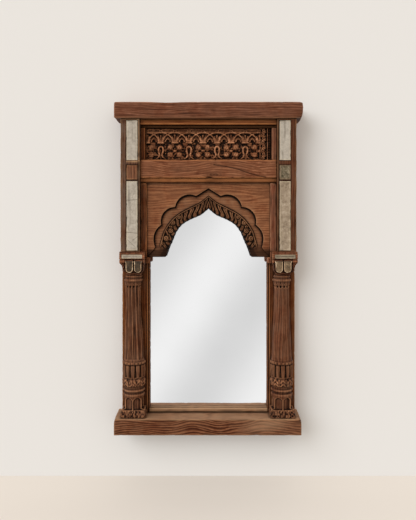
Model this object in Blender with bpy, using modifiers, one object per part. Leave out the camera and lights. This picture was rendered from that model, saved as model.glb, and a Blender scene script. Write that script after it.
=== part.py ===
# Wall mirror: an old carved hardwood window frame with a mirror behind its cusped arch.
# Lengths are in metres. Heights are taken from the underside of the sill, depths from the wall
# out to the front, and both are moved at the end so that the middle of the top beam's back is 0.

import math

import bmesh
import bpy
from mathutils import Matrix, Vector

MM = 0.001

# Overall frame
frame_height = 1337 * MM
frame_width = 716 * MM
seat = 0.3 * MM
overrun = 5 * MM
wood_round = 2 * MM

# Top beam and sill
beam_overhang = 22 * MM
beam_height = 65 * MM
beam_depth = 125 * MM
beam_round = 6 * MM
sill_overhang = 18.5 * MM
sill_height = 65 * MM
sill_depth = 125 * MM
sill_shift = 3.5 * MM

# Stiles, their tenons and the pegs that hold them
stile_width = 114 * MM
stile_thickness = 34 * MM
stile_off_wall = 14 * MM
tenon_width = 80 * MM
tenon_thickness = 14 * MM
tenon_length = 44 * MM
peg_radius = 5 * MM
peg_length = 60 * MM

# Upper posts and their glass insets
post_set_back = 33 * MM
post_edge = 2 * MM
post_depth = 64 * MM
inset_edge = 9 * MM
inset_outer_edge = 25 * MM
inset_thickness = 3 * MM
inset_sunk = 1 * MM
strip_margin = 5 * MM
strip_top_margin = 7 * MM
square_height = 59 * MM
square_margin = 6 * MM
upper_strip_gap = 19 * MM

# Capitals
capital_height = 95 * MM
capital_depth = 71 * MM
capital_outer_step = 3 * MM
capital_inner_step = 20 * MM
capital_strip_margin = 9.5 * MM
capital_strip_height = 16 * MM
capital_strip_drop = 11 * MM
petal_height = 44 * MM
petal_drop = 37 * MM
petal_rim = 3 * MM
petal_stand = 2.5 * MM

# Columns
column_margin = 11 * MM
column_axis_depth = 26 * MM
flute_depth = 4.5 * MM
niche_depth = 6 * MM
dot_radius = 2.5 * MM
dot_depth = 5 * MM

# Imposts and inner stiles
impost_reach = 5 * MM
impost_height = 25 * MM
impost_depth = 42 * MM
lower_stile_width = 26 * MM
upper_stile_width = 19 * MM
inner_stile_depth = 38 * MM

# Frieze, its moulding, and the rail below it
moulding_height = 32 * MM
moulding_depth = 44 * MM
frieze_height = 132 * MM
frieze_back_depth = 14 * MM
frieze_relief = 9 * MM
rib_width = 5 * MM
rail_height = 74 * MM
rail_depth = 50 * MM
rail_moulding_height = 20 * MM
rail_moulding_depth = 40 * MM

# Arch panel
panel_depth = 32 * MM
recess_depth = 13 * MM
leaf_height = 5 * MM

# Mirror, its backing and the rails behind
glass_thickness = 4 * MM
board_thickness = 6 * MM
glass_lap = 12 * MM
bottom_rail_height = 21 * MM
bottom_rail_lap = 9 * MM
glass_above_arch = 72 * MM
back_rail_height = 66 * MM
back_rail_lap = 10 * MM

# Hanging straps, their rings and the turn buttons
strap_width = 20 * MM
strap_length = 44 * MM
strap_thickness = 1.6 * MM
strap_drop = 130 * MM
ring_wire_radius = 1.8 * MM
ring_play = 0.4 * MM
ring_half_width = 13.8 * MM
ring_length = 27 * MM
ring_corner_turn = 67
screw_head_radius = 3.4 * MM
screw_shank_radius = 1.7 * MM
screw_length = 18 * MM
screw_play = 0.4 * MM
upper_screw_drop = 12 * MM
lower_screw_drop = 36 * MM
button_length = 48 * MM
button_width = 16 * MM
button_thickness = 4 * MM
button_off_edge = 9 * MM
button_head_radius = 4.5 * MM
button_head_height = 2.2 * MM

# Shares of the frame, each chosen by eye
capital_level_share = 0.5497
spring_level_share = 0.5325
square_place_share = 0.542
button_height_shares = (0.24, 0.82)
opening_apex_share = 0.662

# Places that follow from the sizes above
hang_level = frame_height - beam_height / 2
beam_underside = frame_height - beam_height
half_width = frame_width / 2
beam_length = frame_width + 2 * beam_overhang
sill_length = frame_width + 2 * sill_overhang
capital_level = frame_height * capital_level_share
spring_level = frame_height * spring_level_share
column_foot = sill_height + seat
column_top = capital_level - capital_height - seat
stile_front = stile_off_wall + stile_thickness
stile_inner = half_width - stile_width
column_axis = half_width - stile_width / 2
post_outer = half_width - post_edge
post_inner = stile_inner + post_set_back
inset_width = post_outer - post_inner - inset_edge - inset_outer_edge
capital_outer = post_outer + capital_outer_step
capital_inner = post_inner - capital_inner_step
capital_width = capital_outer - capital_inner
column_width = stile_width - 2 * column_margin
post_front = stile_front + post_depth
frieze_top = beam_underside - moulding_height
rail_top = frieze_top - frieze_height
rail_bottom = rail_top - rail_height
panel_top = rail_bottom - rail_moulding_height
panel_half = post_inner - lower_stile_width
panel_front = stile_front + panel_depth
frieze_half = post_inner - upper_stile_width
capital_front = stile_front + capital_depth
rebate_front = stile_off_wall + glass_thickness + board_thickness + 3 * seat
glass_half = stile_inner + glass_lap
glass_bottom = sill_height + bottom_rail_height - bottom_rail_lap + seat
glass_top = spring_level + (panel_top - spring_level) * opening_apex_share + glass_above_arch
button_axis = glass_half + button_off_edge
column_middle = stile_front + column_axis_depth
ring_axis_level = beam_underside - strap_drop
eye_radius = ring_wire_radius + ring_play
ring_axis_depth = stile_off_wall - seat - eye_radius - strap_thickness


def remove_everything():
    for item in list(bpy.data.objects):
        bpy.data.objects.remove(item, do_unlink=True)
    for group in list(bpy.data.collections):
        bpy.data.collections.remove(group)


def new_collection(name):
    group = bpy.data.collections.new(name)
    bpy.context.scene.collection.children.link(group)
    return group


def new_material(name, colour, roughness, metallic=0.0):
    finish = bpy.data.materials.new(name)
    finish.use_nodes = True
    shader = finish.node_tree.nodes["Principled BSDF"]
    shader.inputs["Base Color"].default_value = (*colour, 1.0)
    shader.inputs["Roughness"].default_value = roughness
    shader.inputs["Metallic"].default_value = metallic
    finish.diffuse_color = (*colour, 1.0)
    return finish


remove_everything()
parts = new_collection("carved_wall_mirror")
cutters = new_collection("cutters")
mirror_frame = bpy.data.objects.new("mirror_frame", None)
mirror_frame.location = (0, 0, -hang_level)
parts.objects.link(mirror_frame)

old_teak = new_material("old_teak", (0.19, 0.075, 0.038), 0.62)
dark_teak = new_material("dark_teak", (0.11, 0.045, 0.024), 0.68)
dusty_teak = new_material("dusty_teak", (0.26, 0.12, 0.062), 0.66)
aged_glass = new_material("aged_glass", (0.42, 0.39, 0.33), 0.45)
grey_glass = new_material("grey_glass", (0.2, 0.2, 0.16), 0.4)
silvered_glass = new_material("silvered_glass", (0.85, 0.86, 0.87), 0.03, 1.0)
fibre_board = new_material("fibre_board", (0.2, 0.12, 0.07), 0.85)
plated_steel = new_material("plated_steel", (0.45, 0.43, 0.4), 0.35, 1.0)
turned_brass = new_material("turned_brass", (0.55, 0.38, 0.16), 0.35, 1.0)


def piece_from_bmesh(name, shape, finish):
    # Turns a bmesh into a part of the mirror, with its faces turned outward
    bmesh.ops.recalc_face_normals(shape, faces=shape.faces[:])
    mesh = bpy.data.meshes.new(name)
    shape.to_mesh(mesh)
    shape.free()
    piece = bpy.data.objects.new(name, mesh)
    if finish is None:
        cutters.objects.link(piece)
        piece.hide_render = True
        piece.display_type = "WIRE"
    else:
        parts.objects.link(piece)
        mesh.materials.append(finish)
    piece.parent = mirror_frame
    return piece


def block_shape(left, right, back, front, bottom, top):
    # A box given by its sides, its depths from the wall and its heights
    shape = bmesh.new()
    bmesh.ops.create_cube(shape, size=1)
    size = Vector((abs(right - left), abs(front - back), top - bottom))
    middle = Vector(((left + right) / 2, -(back + front) / 2, (bottom + top) / 2))
    for corner in shape.verts:
        corner.co = Vector(a * b for a, b in zip(corner.co, size)) + middle
    return shape


def block(name, finish, left, right, back, front, bottom, top):
    return piece_from_bmesh(name, block_shape(left, right, back, front, bottom, top), finish)


def outline_shape(outlines, thickness):
    # A flat plate from closed outlines in XY, the later ones being holes, standing on Z = 0
    curve = bpy.data.curves.new("outline", "CURVE")
    curve.dimensions = "2D"
    curve.fill_mode = "BOTH"
    curve.extrude = thickness / 2
    for outline in outlines:
        spline = curve.splines.new("POLY")
        spline.points.add(len(outline) - 1)
        for point, place in zip(spline.points, outline):
            point.co = (place[0], place[1], 0, 1)
        spline.use_cyclic_u = True
    holder = bpy.data.objects.new("outline", curve)
    bpy.context.scene.collection.objects.link(holder)
    graph = bpy.context.evaluated_depsgraph_get()
    mesh = bpy.data.meshes.new_from_object(holder.evaluated_get(graph))
    shape = bmesh.new()
    shape.from_mesh(mesh)
    bmesh.ops.remove_doubles(shape, verts=shape.verts[:], dist=seat / 100)
    bmesh.ops.translate(shape, verts=shape.verts[:], vec=(0, 0, thickness / 2))
    bpy.data.objects.remove(holder, do_unlink=True)
    bpy.data.curves.remove(curve)
    bpy.data.meshes.remove(mesh)
    return shape


def facing_front(back):
    # Lays a plate drawn in XY upright, its thickness running from a depth to the front
    return Matrix.Translation((0, -back, 0)) @ Matrix.Rotation(math.pi / 2, 4, "X")


def front_plate(name, finish, outlines, back, front):
    shape = outline_shape(outlines, front - back)
    bmesh.ops.transform(shape, matrix=facing_front(back), verts=shape.verts[:])
    return piece_from_bmesh(name, shape, finish)


def moulding(name, finish, outline, left, right):
    # A length of moulding along X, its section drawn as depth and height
    shape = outline_shape([[(-depth, height) for depth, height in outline]], right - left)
    turn = Matrix(((0, 0, 1, left), (1, 0, 0, 0), (0, 1, 0, 0), (0, 0, 0, 1)))
    bmesh.ops.transform(shape, matrix=turn, verts=shape.verts[:])
    return piece_from_bmesh(name, shape, finish)


def loft(name, finish, sections):
    # A solid through closed sections that have the same number of points
    shape = bmesh.new()
    rings = [[shape.verts.new(point) for point in section] for section in sections]
    count = len(rings[0])
    for lower, upper in zip(rings, rings[1:]):
        for k in range(count):
            after = (k + 1) % count
            shape.faces.new((lower[k], lower[after], upper[after], upper[k]))
    shape.faces.new(rings[0][::-1])
    shape.faces.new(rings[-1])
    return piece_from_bmesh(name, shape, finish)


def turned(name, finish, profile, steps, x, z):
    # A turned piece with its axis along Y; the profile is radius and depth, front end first
    mesh = bpy.data.meshes.new(name)
    shape = bmesh.new()
    points = [shape.verts.new((radius, 0, depth)) for radius, depth in profile]
    for first, second in zip(points, points[1:]):
        shape.edges.new((first, second))
    shape.to_mesh(mesh)
    shape.free()
    piece = bpy.data.objects.new(name, mesh)
    if finish is None:
        cutters.objects.link(piece)
        piece.hide_render = True
        piece.display_type = "WIRE"
    else:
        parts.objects.link(piece)
        mesh.materials.append(finish)
    piece.parent = mirror_frame
    piece.rotation_euler = (math.pi / 2, 0, 0)
    piece.location = (x, 0, z)
    screw = piece.modifiers.new("turn", "SCREW")
    screw.steps = steps
    screw.render_steps = steps
    screw.use_merge_vertices = True
    screw.merge_threshold = seat / 10
    screw.use_normal_calculate = False
    return piece


def peg_profile(radius, back, front):
    return [(0, front), (radius, front), (radius, back), (0, back)]


def rounded(piece, width, segments=2):
    bevel = piece.modifiers.new("round", "BEVEL")
    bevel.width = width
    bevel.segments = segments
    bevel.limit_method = "ANGLE"
    bevel.angle_limit = math.radians(40)
    bevel.use_clamp_overlap = True
    return piece


def cut(piece, *tools):
    for tool in tools:
        change = piece.modifiers.new(tool.name, "BOOLEAN")
        change.operation = "DIFFERENCE"
        change.object = tool
    return piece


def join(piece, *additions):
    for addition in additions:
        change = piece.modifiers.new(addition.name, "BOOLEAN")
        change.operation = "UNION"
        change.object = addition
    return piece


def gathered(name, shapes):
    # Several separate solids as one tool
    whole = bmesh.new()
    for shape in shapes:
        mesh = bpy.data.meshes.new("part of tool")
        shape.to_mesh(mesh)
        shape.free()
        whole.from_mesh(mesh)
        bpy.data.meshes.remove(mesh)
    return piece_from_bmesh(name, whole, None)


def arc(middle_x, middle_z, radius, start, end, steps):
    # Points on an arc, the angles in degrees, both ends included
    points = []
    for k in range(steps + 1):
        angle = math.radians(start + (end - start) * k / steps)
        points.append((middle_x + radius * math.cos(angle), middle_z + radius * math.sin(angle)))
    return points


def bulge(start, end, rise, steps):
    # Points on the arc over a chord, rising to its left, with the last point left out
    first = Vector(start)
    last = Vector(end)
    chord = last - first
    across = Vector((-chord.y, chord.x)).normalized()
    radius = (chord.length ** 2 / 4 + rise ** 2) / (2 * rise)
    centre = (first + last) / 2 + across * (rise - radius)
    from_angle = math.atan2(first.y - centre.y, first.x - centre.x)
    half_angle = math.asin(min(1.0, chord.length / 2 / radius))
    points = []
    for k in range(steps):
        angle = from_angle - 2 * half_angle * k / steps
        points.append((centre.x + radius * math.cos(angle), centre.y + radius * math.sin(angle)))
    return points


def smooth(points, steps):
    # Points on a smooth curve through the given ones, both ends included
    guide = [Vector(point) for point in points]
    guide = [2 * guide[0] - guide[1]] + guide + [2 * guide[-1] - guide[-2]]
    result = []
    for before, start, end, after in zip(guide, guide[1:], guide[2:], guide[3:]):
        for k in range(steps):
            t = k / steps
            spot = 2 * start + (end - before) * t
            spot += (2 * before - 5 * start + 4 * end - after) * t * t
            spot += (3 * start - before - 3 * end + after) * t ** 3
            result.append(tuple(spot / 2))
    result.append(tuple(guide[-2]))
    return result


def mirrored(points):
    # The right half of an outline, drawn from the top down, and its mirror image
    left = [(-x, z) for x, z in points if x > 0]
    return left[::-1] + list(points)


def oblong(x, z, width, height):
    return [(x - width / 2, z - height / 2), (x + width / 2, z - height / 2),
            (x + width / 2, z + height / 2), (x - width / 2, z + height / 2)]


# Top beam and sill, mortised for the stiles and bored for the pegs

def make_beam_and_sill():
    beam = block("top_beam", old_teak, -beam_length / 2, beam_length / 2, 0, beam_depth,
                 beam_underside, frame_height)
    rounded(beam, beam_round)
    sill = block("sill", old_teak, -sill_length / 2 - sill_shift, sill_length / 2 - sill_shift,
                 0, sill_depth, 0, sill_height)
    rounded(sill, beam_round / 2)
    for side, word in ((-1, "left"), (1, "right")):
        x = side * column_axis
        mortise_half = tenon_width / 2 + seat
        back = stile_off_wall + (stile_thickness - tenon_thickness) / 2 - seat
        front = back + tenon_thickness + 2 * seat
        cut(beam, block(word + " beam mortise", None, x - mortise_half, x + mortise_half, back, front,
                        beam_underside - overrun, beam_underside + tenon_length + seat))
        cut(sill, block(word + " sill mortise", None, x - mortise_half, x + mortise_half, back, front,
                        sill_height - tenon_length - seat, sill_height + overrun))
        for member, level in ((beam, hang_level), (sill, sill_height / 2)):
            bore = turned(word + " peg bore in " + member.name, None,
                          peg_profile(peg_radius + seat, -overrun, peg_length + seat), 12, x, level)
            cut(member, bore)


def make_stiles():
    for side, word in ((-1, "left"), (1, "right")):
        x = side * column_axis
        stile = block(word + "_stile", old_teak, x - stile_width / 2, x + stile_width / 2,
                      stile_off_wall, stile_front, sill_height + seat, beam_underside - seat)
        tenon_back = stile_off_wall + (stile_thickness - tenon_thickness) / 2
        tenon = block(word + " tenons", None, x - tenon_width / 2, x + tenon_width / 2,
                      tenon_back, tenon_back + tenon_thickness,
                      sill_height - tenon_length, beam_underside + tenon_length)
        join(stile, tenon)
        inner = side * (stile_inner - overrun)
        rebate = block(word + " rebate", None, inner, side * (glass_half + seat),
                       stile_off_wall - overrun, rebate_front, glass_bottom - seat, glass_top + seat)
        cut(stile, rebate)
        for level, end in ((hang_level, "top"), (sill_height / 2, "bottom")):
            bore = turned(word + " " + end + " tenon bore", None,
                          peg_profile(peg_radius + seat, -overrun, peg_length + seat), 12, x, level)
            cut(stile, bore)
            peg = turned(word + "_" + end + "_peg", dark_teak,
                         peg_profile(peg_radius, seat, peg_length), 12, x, level)
            peg.data.shade_smooth()
        for place in strap_screw_levels():
            cut(stile, turned(word + " strap screw bore", None, screw_bore(), 12, x, place))
        for level in button_levels():
            cut(stile, turned(word + " button screw bore", None, screw_bore(), 12,
                              side * button_axis, level))


def screw_bore():
    # The hole that a screw leaves in a stile
    return peg_profile(screw_shank_radius + screw_play, stile_off_wall - overrun,
                       stile_off_wall + screw_length + seat)


# Upper posts with sunk panels of old glass

def post_insets():
    # Name, middle height and height of each inset in a post
    top = beam_underside - strip_top_margin
    post_height = beam_underside - capital_level
    square_middle = capital_level + post_height * square_place_share + square_height / 2
    upper_bottom = square_middle + square_height / 2 + upper_strip_gap
    lower_bottom = capital_level + strip_margin
    lower_top = square_middle - square_height / 2 - square_margin
    return (("upper_strip", (top + upper_bottom) / 2, top - upper_bottom),
            ("square_panel", square_middle, square_height),
            ("lower_strip", (lower_top + lower_bottom) / 2, lower_top - lower_bottom))


def make_posts():
    for side, word in ((-1, "left"), (1, "right")):
        post = block(word + "_post", old_teak, side * post_inner, side * post_outer,
                     stile_front + seat, post_front, capital_level + seat, beam_underside - seat)
        rounded(post, wood_round, 1)
        x = side * (post_inner + inset_edge + inset_width / 2)
        floor = post_front - inset_sunk - inset_thickness - seat
        for name, level, height in post_insets():
            pocket = oblong(x, level, inset_width + 2 * seat, height + 2 * seat)
            cut(post, front_plate(word + " pocket for " + name, None, [pocket],
                                  floor, post_front + overrun))
            wooden = word == "left" and name == "square_panel"
            finish = old_teak if wooden else aged_glass
            if word == "right" and name == "square_panel":
                finish = grey_glass
            front_plate(word + "_" + name, finish, [oblong(x, level, inset_width, height)],
                        floor + seat, floor + seat + inset_thickness)


# Capitals: a squared block over a bell with two framed petals

capital_section_shares = (
    # height, outer edge, inner edge and depth, as shares of the block's own
    (1.0, 1.0, 1.0, 1.0), (0.57, 1.0, 1.0, 1.0), (0.52, 0.97, 0.97, 0.97), (0.46, 0.92, 0.9, 0.94),
    (0.4, 0.84, 0.86, 0.93), (0.25, 0.8, 0.84, 0.9), (0.14, 0.74, 0.78, 0.84), (0.1, 0.52, 0.6, 0.72),
    (0.0, 0.5, 0.58, 0.7))
capital_corner_share = 0.05
petal_width_share = 0.265
petal_spread_share = 0.167


def capital_section(side, height_share, outer_share, inner_share, depth_share):
    level = capital_level - capital_height * (1 - height_share)
    outer = column_axis + (capital_outer - column_axis) * outer_share
    inner = column_axis - (column_axis - capital_inner) * inner_share
    back = stile_front + seat
    front = stile_front + capital_depth * depth_share
    chamfer = capital_depth * capital_corner_share
    corners = ((inner, back), (inner, front - chamfer), (inner + chamfer, front),
               (outer - chamfer, front), (outer, front - chamfer), (outer, back))
    return [Vector((side * x, -depth, level)) for x, depth in corners]


def petal_outline(x, top, width, height):
    # A U shape: straight sides and a round foot
    radius = width / 2
    foot = arc(x, top - height + radius, radius, 180, 360, 10)
    return [(x - radius, top)] + foot + [(x + radius, top)]


def make_capitals():
    strip_middle = capital_level - capital_strip_drop - capital_strip_height / 2
    block_middle = (capital_outer + capital_inner) / 2
    strip_length = capital_width - 2 * capital_strip_margin
    petal_width = capital_width * petal_width_share
    petal_spread = capital_width * petal_spread_share
    for side, word in ((-1, "left"), (1, "right")):
        capital = loft(word + "_capital", old_teak,
                       [capital_section(side, *shares) for shares in capital_section_shares])
        strip_floor = capital_front - inset_sunk - inset_thickness - seat
        strip_pocket = oblong(side * block_middle, strip_middle, strip_length + 2 * seat,
                              capital_strip_height + 2 * seat)
        cut(capital, front_plate(word + " capital pocket", None, [strip_pocket],
                                 strip_floor, capital_front + overrun))
        front_plate(word + "_capital_strip", aged_glass,
                    [oblong(side * block_middle, strip_middle, strip_length, capital_strip_height)],
                    strip_floor + seat, strip_floor + seat + inset_thickness)
        petal_top = capital_level - petal_drop
        floor = capital_front + petal_stand - inset_sunk - inset_thickness - seat
        for step, place in ((-1, "inner"), (1, "outer")):
            x = side * (column_axis + step * petal_spread)
            frame = petal_outline(x, petal_top + petal_rim, petal_width + 2 * petal_rim,
                                  petal_height + 2 * petal_rim)
            join(capital, front_plate(word + place + " petal frame", None, [frame],
                                      stile_front + overrun, capital_front + petal_stand))
            hollow = petal_outline(x, petal_top, petal_width + 2 * seat, petal_height + 2 * seat)
            cut(capital, front_plate(word + place + " petal pocket", None, [hollow],
                                     floor, capital_front + petal_stand + overrun))
            front_plate(word + "_" + place + "_petal", grey_glass,
                        [petal_outline(x, petal_top - seat, petal_width, petal_height)],
                        floor + seat, floor + seat + inset_thickness)


# Columns: lofted, because their section turns from square to round to gadrooned to fluted

column_section_shares = (
    # height, half width, half depth, squareness, flute depth
    (0.0, 1.1, 0.89, 1.0, 0), (0.022, 1.1, 0.89, 1.0, 0), (0.03, 1.0, 0.87, 1.0, 0),
    (0.054, 0.97, 0.87, 0.9, 0), (0.058, 0.84, 0.83, 0, 0), (0.139, 0.83, 0.82, 0, 0),
    (0.147, 0.88, 0.88, 0, 0), (0.162, 0.88, 0.88, 0, 0), (0.167, 0.79, 0.79, 0, 0),
    (0.177, 0.8, 0.8, 0, 0), (0.181, 0.91, 0.91, 0, 0), (0.193, 0.92, 0.92, 0, 0),
    (0.2, 0.8, 0.8, 0, 0), (0.214, 0.82, 0.82, 0, 0), (0.22, 0.98, 0.98, 0, 0.3),
    (0.245, 1.0, 1.0, 0, 0.5), (0.271, 0.94, 0.94, 0, 0.3), (0.275, 0.86, 0.86, 0, 0.8),
    (0.325, 0.93, 0.93, 0, 1.4), (0.37, 0.91, 0.91, 0, 1.2), (0.374, 0.87, 0.87, 0, 0),
    (0.378, 0.94, 0.94, 0, 0), (0.388, 0.94, 0.94, 0, 0), (0.391, 0.87, 0.87, 0, 0.2),
    (0.405, 0.87, 0.87, 0, 0.8), (0.44, 0.86, 0.86, 0, 0.9), (0.62, 0.72, 0.72, 0, 0.9),
    (0.79, 0.61, 0.61, 0, 0.8), (0.895, 0.62, 0.62, 0, 0.8), (0.91, 0.67, 0.67, 0, 0.1),
    (0.955, 0.72, 0.72, 0, 0), (0.962, 0.84, 0.84, 0, 0), (0.982, 0.85, 0.85, 0, 0),
    (0.99, 0.7, 0.7, 0, 0), (1.0, 0.66, 0.66, 0, 0))
flute_count = 12
niche_ground_share = 0.82
dot_ring_share = 0.68
dot_turn_share = 0.5
dot_level_share = 0.916
niche_foot_share = 0.057
niche_height_share = 0.0766
niche_width_share = 0.272
niche_turns = (-70, -23.5, 23.5, 70)
sides_per_flute = 3


def column_level(share):
    return column_foot + (column_top - column_foot) * share


def column_section(side, height_share, width_share, depth_share, squareness, flute_share):
    points = []
    for k in range(flute_count * sides_per_flute):
        angle = 2 * math.pi * k / (flute_count * sides_per_flute)
        across = math.cos(angle)
        out = math.sin(angle)
        square = 1 / max(abs(across), abs(out))
        reach = 1 + (square - 1) * squareness
        groove = 0 if k % sides_per_flute == 0 else flute_depth * flute_share
        x = side * column_axis + across * (column_width / 2 * width_share * reach - groove)
        depth = column_middle + out * (column_width / 2 * depth_share * reach - groove)
        points.append(Vector((x, -depth, column_level(height_share))))
    return points


def niche_shape(angle, x):
    # A round-headed niche that faces out from the column's axis
    radius = column_width * niche_width_share / 2
    foot = column_level(niche_foot_share)
    top = column_level(niche_foot_share + niche_height_share)
    outline = [(-radius, foot), (radius, foot)] + arc(0, top - radius, radius, 0, 180, 8)
    floor = column_width / 2 * niche_ground_share - niche_depth
    shape = outline_shape([outline], niche_depth + overrun)
    bmesh.ops.transform(shape, matrix=facing_front(floor), verts=shape.verts[:])
    turn = Matrix.Translation((x, -column_middle, 0)) @ Matrix.Rotation(angle, 4, "Z")
    bmesh.ops.transform(shape, matrix=turn, verts=shape.verts[:])
    return shape


def dot_shape(angle, x):
    # A drilled dot at the head of a flute
    shape = bmesh.new()
    bmesh.ops.create_cone(shape, cap_ends=True, segments=6, radius1=dot_radius, radius2=dot_radius,
                          depth=2 * dot_depth)
    radius = column_width / 2 * dot_ring_share
    place = Matrix.Translation((0, -radius, column_level(dot_level_share)))
    place = place @ Matrix.Rotation(math.pi / 2, 4, "X")
    turn = Matrix.Translation((x, -column_middle, 0)) @ Matrix.Rotation(angle, 4, "Z")
    bmesh.ops.transform(shape, matrix=turn @ place, verts=shape.verts[:])
    return shape


def make_columns():
    for side, word in ((-1, "left"), (1, "right")):
        x = side * column_axis
        column = loft(word + "_column", old_teak,
                      [column_section(side, *shares) for shares in column_section_shares])
        behind = block(word + " column back", None, x - column_width, x + column_width,
                       stile_front - column_width, stile_front + seat, -overrun, capital_level)
        niches = gathered(word + " niches", [niche_shape(math.radians(turn), x)
                                             for turn in niche_turns])
        flute_turn = 2 * math.pi / flute_count
        dots = gathered(word + " dots", [dot_shape(flute_turn * (k + dot_turn_share), x)
                                         for k in range(-3, 3)])
        cut(column, behind, niches, dots)


# Imposts that carry the arch panel, and the inner stiles beside panel and frieze

def make_imposts_and_inner_stiles():
    for side, word in ((-1, "left"), (1, "right")):
        reach = stile_inner - impost_reach
        outer = capital_inner - seat
        top = spring_level - seat
        outline = [(reach, top - impost_height), (outer, top - impost_height), (outer, capital_level),
                   (panel_half, capital_level), (panel_half, top), (reach, top)]
        front_plate(word + "_impost", old_teak, [[(side * x, z) for x, z in outline]],
                    stile_front + seat, stile_front + impost_depth)
        lower = block(word + "_lower_inner_stile", dark_teak, side * panel_half,
                      side * (post_inner - seat), stile_front + seat, stile_front + inner_stile_depth,
                      capital_level + seat, panel_top - seat)
        rounded(lower, wood_round, 1)
        upper = block(word + "_upper_inner_stile", dark_teak, side * frieze_half,
                      side * (post_inner - seat), stile_front + seat, stile_front + inner_stile_depth,
                      rail_top + seat, frieze_top - seat)
        rounded(upper, wood_round, 1)


# Moulding under the beam, and the rail between frieze and arch

frieze_moulding_shares = ((1.0, 1.0), (1.0, 0.88), (0.92, 0.86), (0.9, 0.78), (0.8, 0.55),
                          (0.68, 0.38), (0.62, 0.24), (0.7, 0.2), (0.7, 0.04), (0.62, 0.0))
rail_moulding_shares = ((1.0, 0.82), (0.97, 0.5), (0.88, 0.25), (0.76, 0.1), (0.76, 0.0))


def make_mouldings():
    left = -post_inner + seat
    right = post_inner - seat
    back = stile_front + seat
    front = [(stile_front + moulding_depth * out, frieze_top + moulding_height * up - seat * up)
             for out, up in frieze_moulding_shares]
    moulding("frieze_moulding", old_teak,
             [(back, frieze_top)] + [(back, beam_underside - seat)] + front, left, right)
    face = stile_front + rail_depth
    lower = [(stile_front + rail_moulding_depth * out, panel_top + rail_moulding_height * up)
             for out, up in rail_moulding_shares]
    section = [(back, panel_top), (back, rail_top), (face - wood_round, rail_top),
               (face, rail_top - wood_round), (face, rail_bottom + wood_round),
               (face - wood_round, rail_bottom), (stile_front + rail_moulding_depth, rail_bottom)]
    moulding("mid_rail", old_teak, section + lower, left, right)


# Frieze: a run of interlaced pointed arches over keyhole palmettes and four-petal flowers

arch_count = 8
frieze_pattern_left_share = -0.985
frieze_pattern_right_share = 0.81
foot_bar_share = 0.55
apex_share = 0.82
top_band_share = 0.9
bar_right_share = 0.94
petal_radius_share = 0.2
petal_height_shares = (0.38, 0.14)
petal_across_shares = (-0.27, 0.27)
bud_radius_share = 0.1
bud_height_share = 0.26
bead_radius_share = 0.12
bead_height_shares = (0.09, 0.24, 0.39, 0.64, 0.79)
keyhole_eye_share = 0.33
keyhole_eye_width_share = 0.8
keyhole_shares = ((0.0, 0.5), (0.13, 0.46), (0.21, 0.35), (0.18, 0.22), (0.09, 0.12), (0.16, 0.03))
flank_shares = ((0.45, 0.72), (0.86, 0.32))
rib_crown_share = 1.3


def frieze_level(share):
    return rail_top + frieze_height * share


def arch_rib(middle, pitch):
    # One pointed arch of the run, drawn as a rib of even width
    foot = frieze_level(foot_bar_share)
    rise = frieze_height * (apex_share - foot_bar_share)

    def flank(width, height):
        bends = [(width * across, foot + height * up) for across, up in flank_shares]
        return smooth([(0, foot + height), *bends, (width, foot)], 2)

    outer = mirrored(flank(pitch / 2 - seat, rise))
    inner = mirrored(flank(pitch / 2 - seat - rib_width, rise - rib_width * rib_crown_share))
    return [(middle + x, z) for x, z in outer + inner[::-1]]


def keyhole(middle, pitch):
    # A teardrop palmette with a keyhole in it
    points = [(pitch * across, rail_top + frieze_height * up) for across, up in keyhole_shares]
    outer = mirrored(smooth(points, 2))
    eye = arc(0, frieze_level(keyhole_eye_share), rib_width, 0, 360, 10)[:-1]
    eye = [(middle + x * keyhole_eye_width_share, z) for x, z in eye]
    return [[(middle + x, z) for x, z in outer], eye]


def relief_shape(outlines):
    shape = outline_shape(outlines, frieze_relief + overrun)
    back = stile_front + frieze_back_depth - overrun
    bmesh.ops.transform(shape, matrix=facing_front(back), verts=shape.verts[:])
    return shape


def petal_bump(x, z, radius):
    # A rounded petal or bead that stands out of the frieze's ground
    shape = bmesh.new()
    bmesh.ops.create_icosphere(shape, subdivisions=2, radius=radius)
    place = Vector((x, -(stile_front + frieze_back_depth), z))
    bmesh.ops.translate(shape, verts=shape.verts[:], vec=place)
    return shape


def make_frieze():
    ground = stile_front + frieze_back_depth
    panel = block("frieze_panel", dark_teak, -frieze_half + seat, frieze_half - seat,
                  stile_front + seat, ground, rail_top + seat, frieze_top - seat)
    left = frieze_half * frieze_pattern_left_share
    right = frieze_half * frieze_pattern_right_share
    pitch = (right - left) / arch_count
    shapes = []
    for k in range(arch_count):
        shapes.append(relief_shape([arch_rib(left + pitch * (k + 0.5), pitch)]))
    for k in range(1, arch_count, 2):
        shapes.append(relief_shape(keyhole(left + pitch * k, pitch)))
    petal_radius = pitch * petal_radius_share
    for k in range(0, arch_count + 1, 2):
        middle = left + pitch * k
        for up in petal_height_shares:
            for across in petal_across_shares:
                x = middle + pitch * across
                if left < x < right:
                    shapes.append(petal_bump(x, frieze_level(up), petal_radius))
        if left < middle < right:
            shapes.append(petal_bump(middle, frieze_level(bud_height_share), pitch * bud_radius_share))
    bar_left = left - seat
    bar_right = frieze_half * bar_right_share
    bar_levels = (frieze_level(foot_bar_share) - rib_width / 2 - seat,
                  frieze_level(top_band_share) - rib_width / 2)
    for level in bar_levels:
        bar = oblong((bar_left + bar_right) / 2, level, bar_right - bar_left, rib_width)
        shapes.append(relief_shape([bar]))
    bead_radius = pitch * bead_radius_share
    for share in bead_height_shares:
        shapes.append(petal_bump((right + bar_right) / 2, frieze_level(share), bead_radius))
    join(panel, gathered("frieze relief", shapes))


# Arch panel: a plain board with a cusped recess, and a leaf-carved band round the opening

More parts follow.
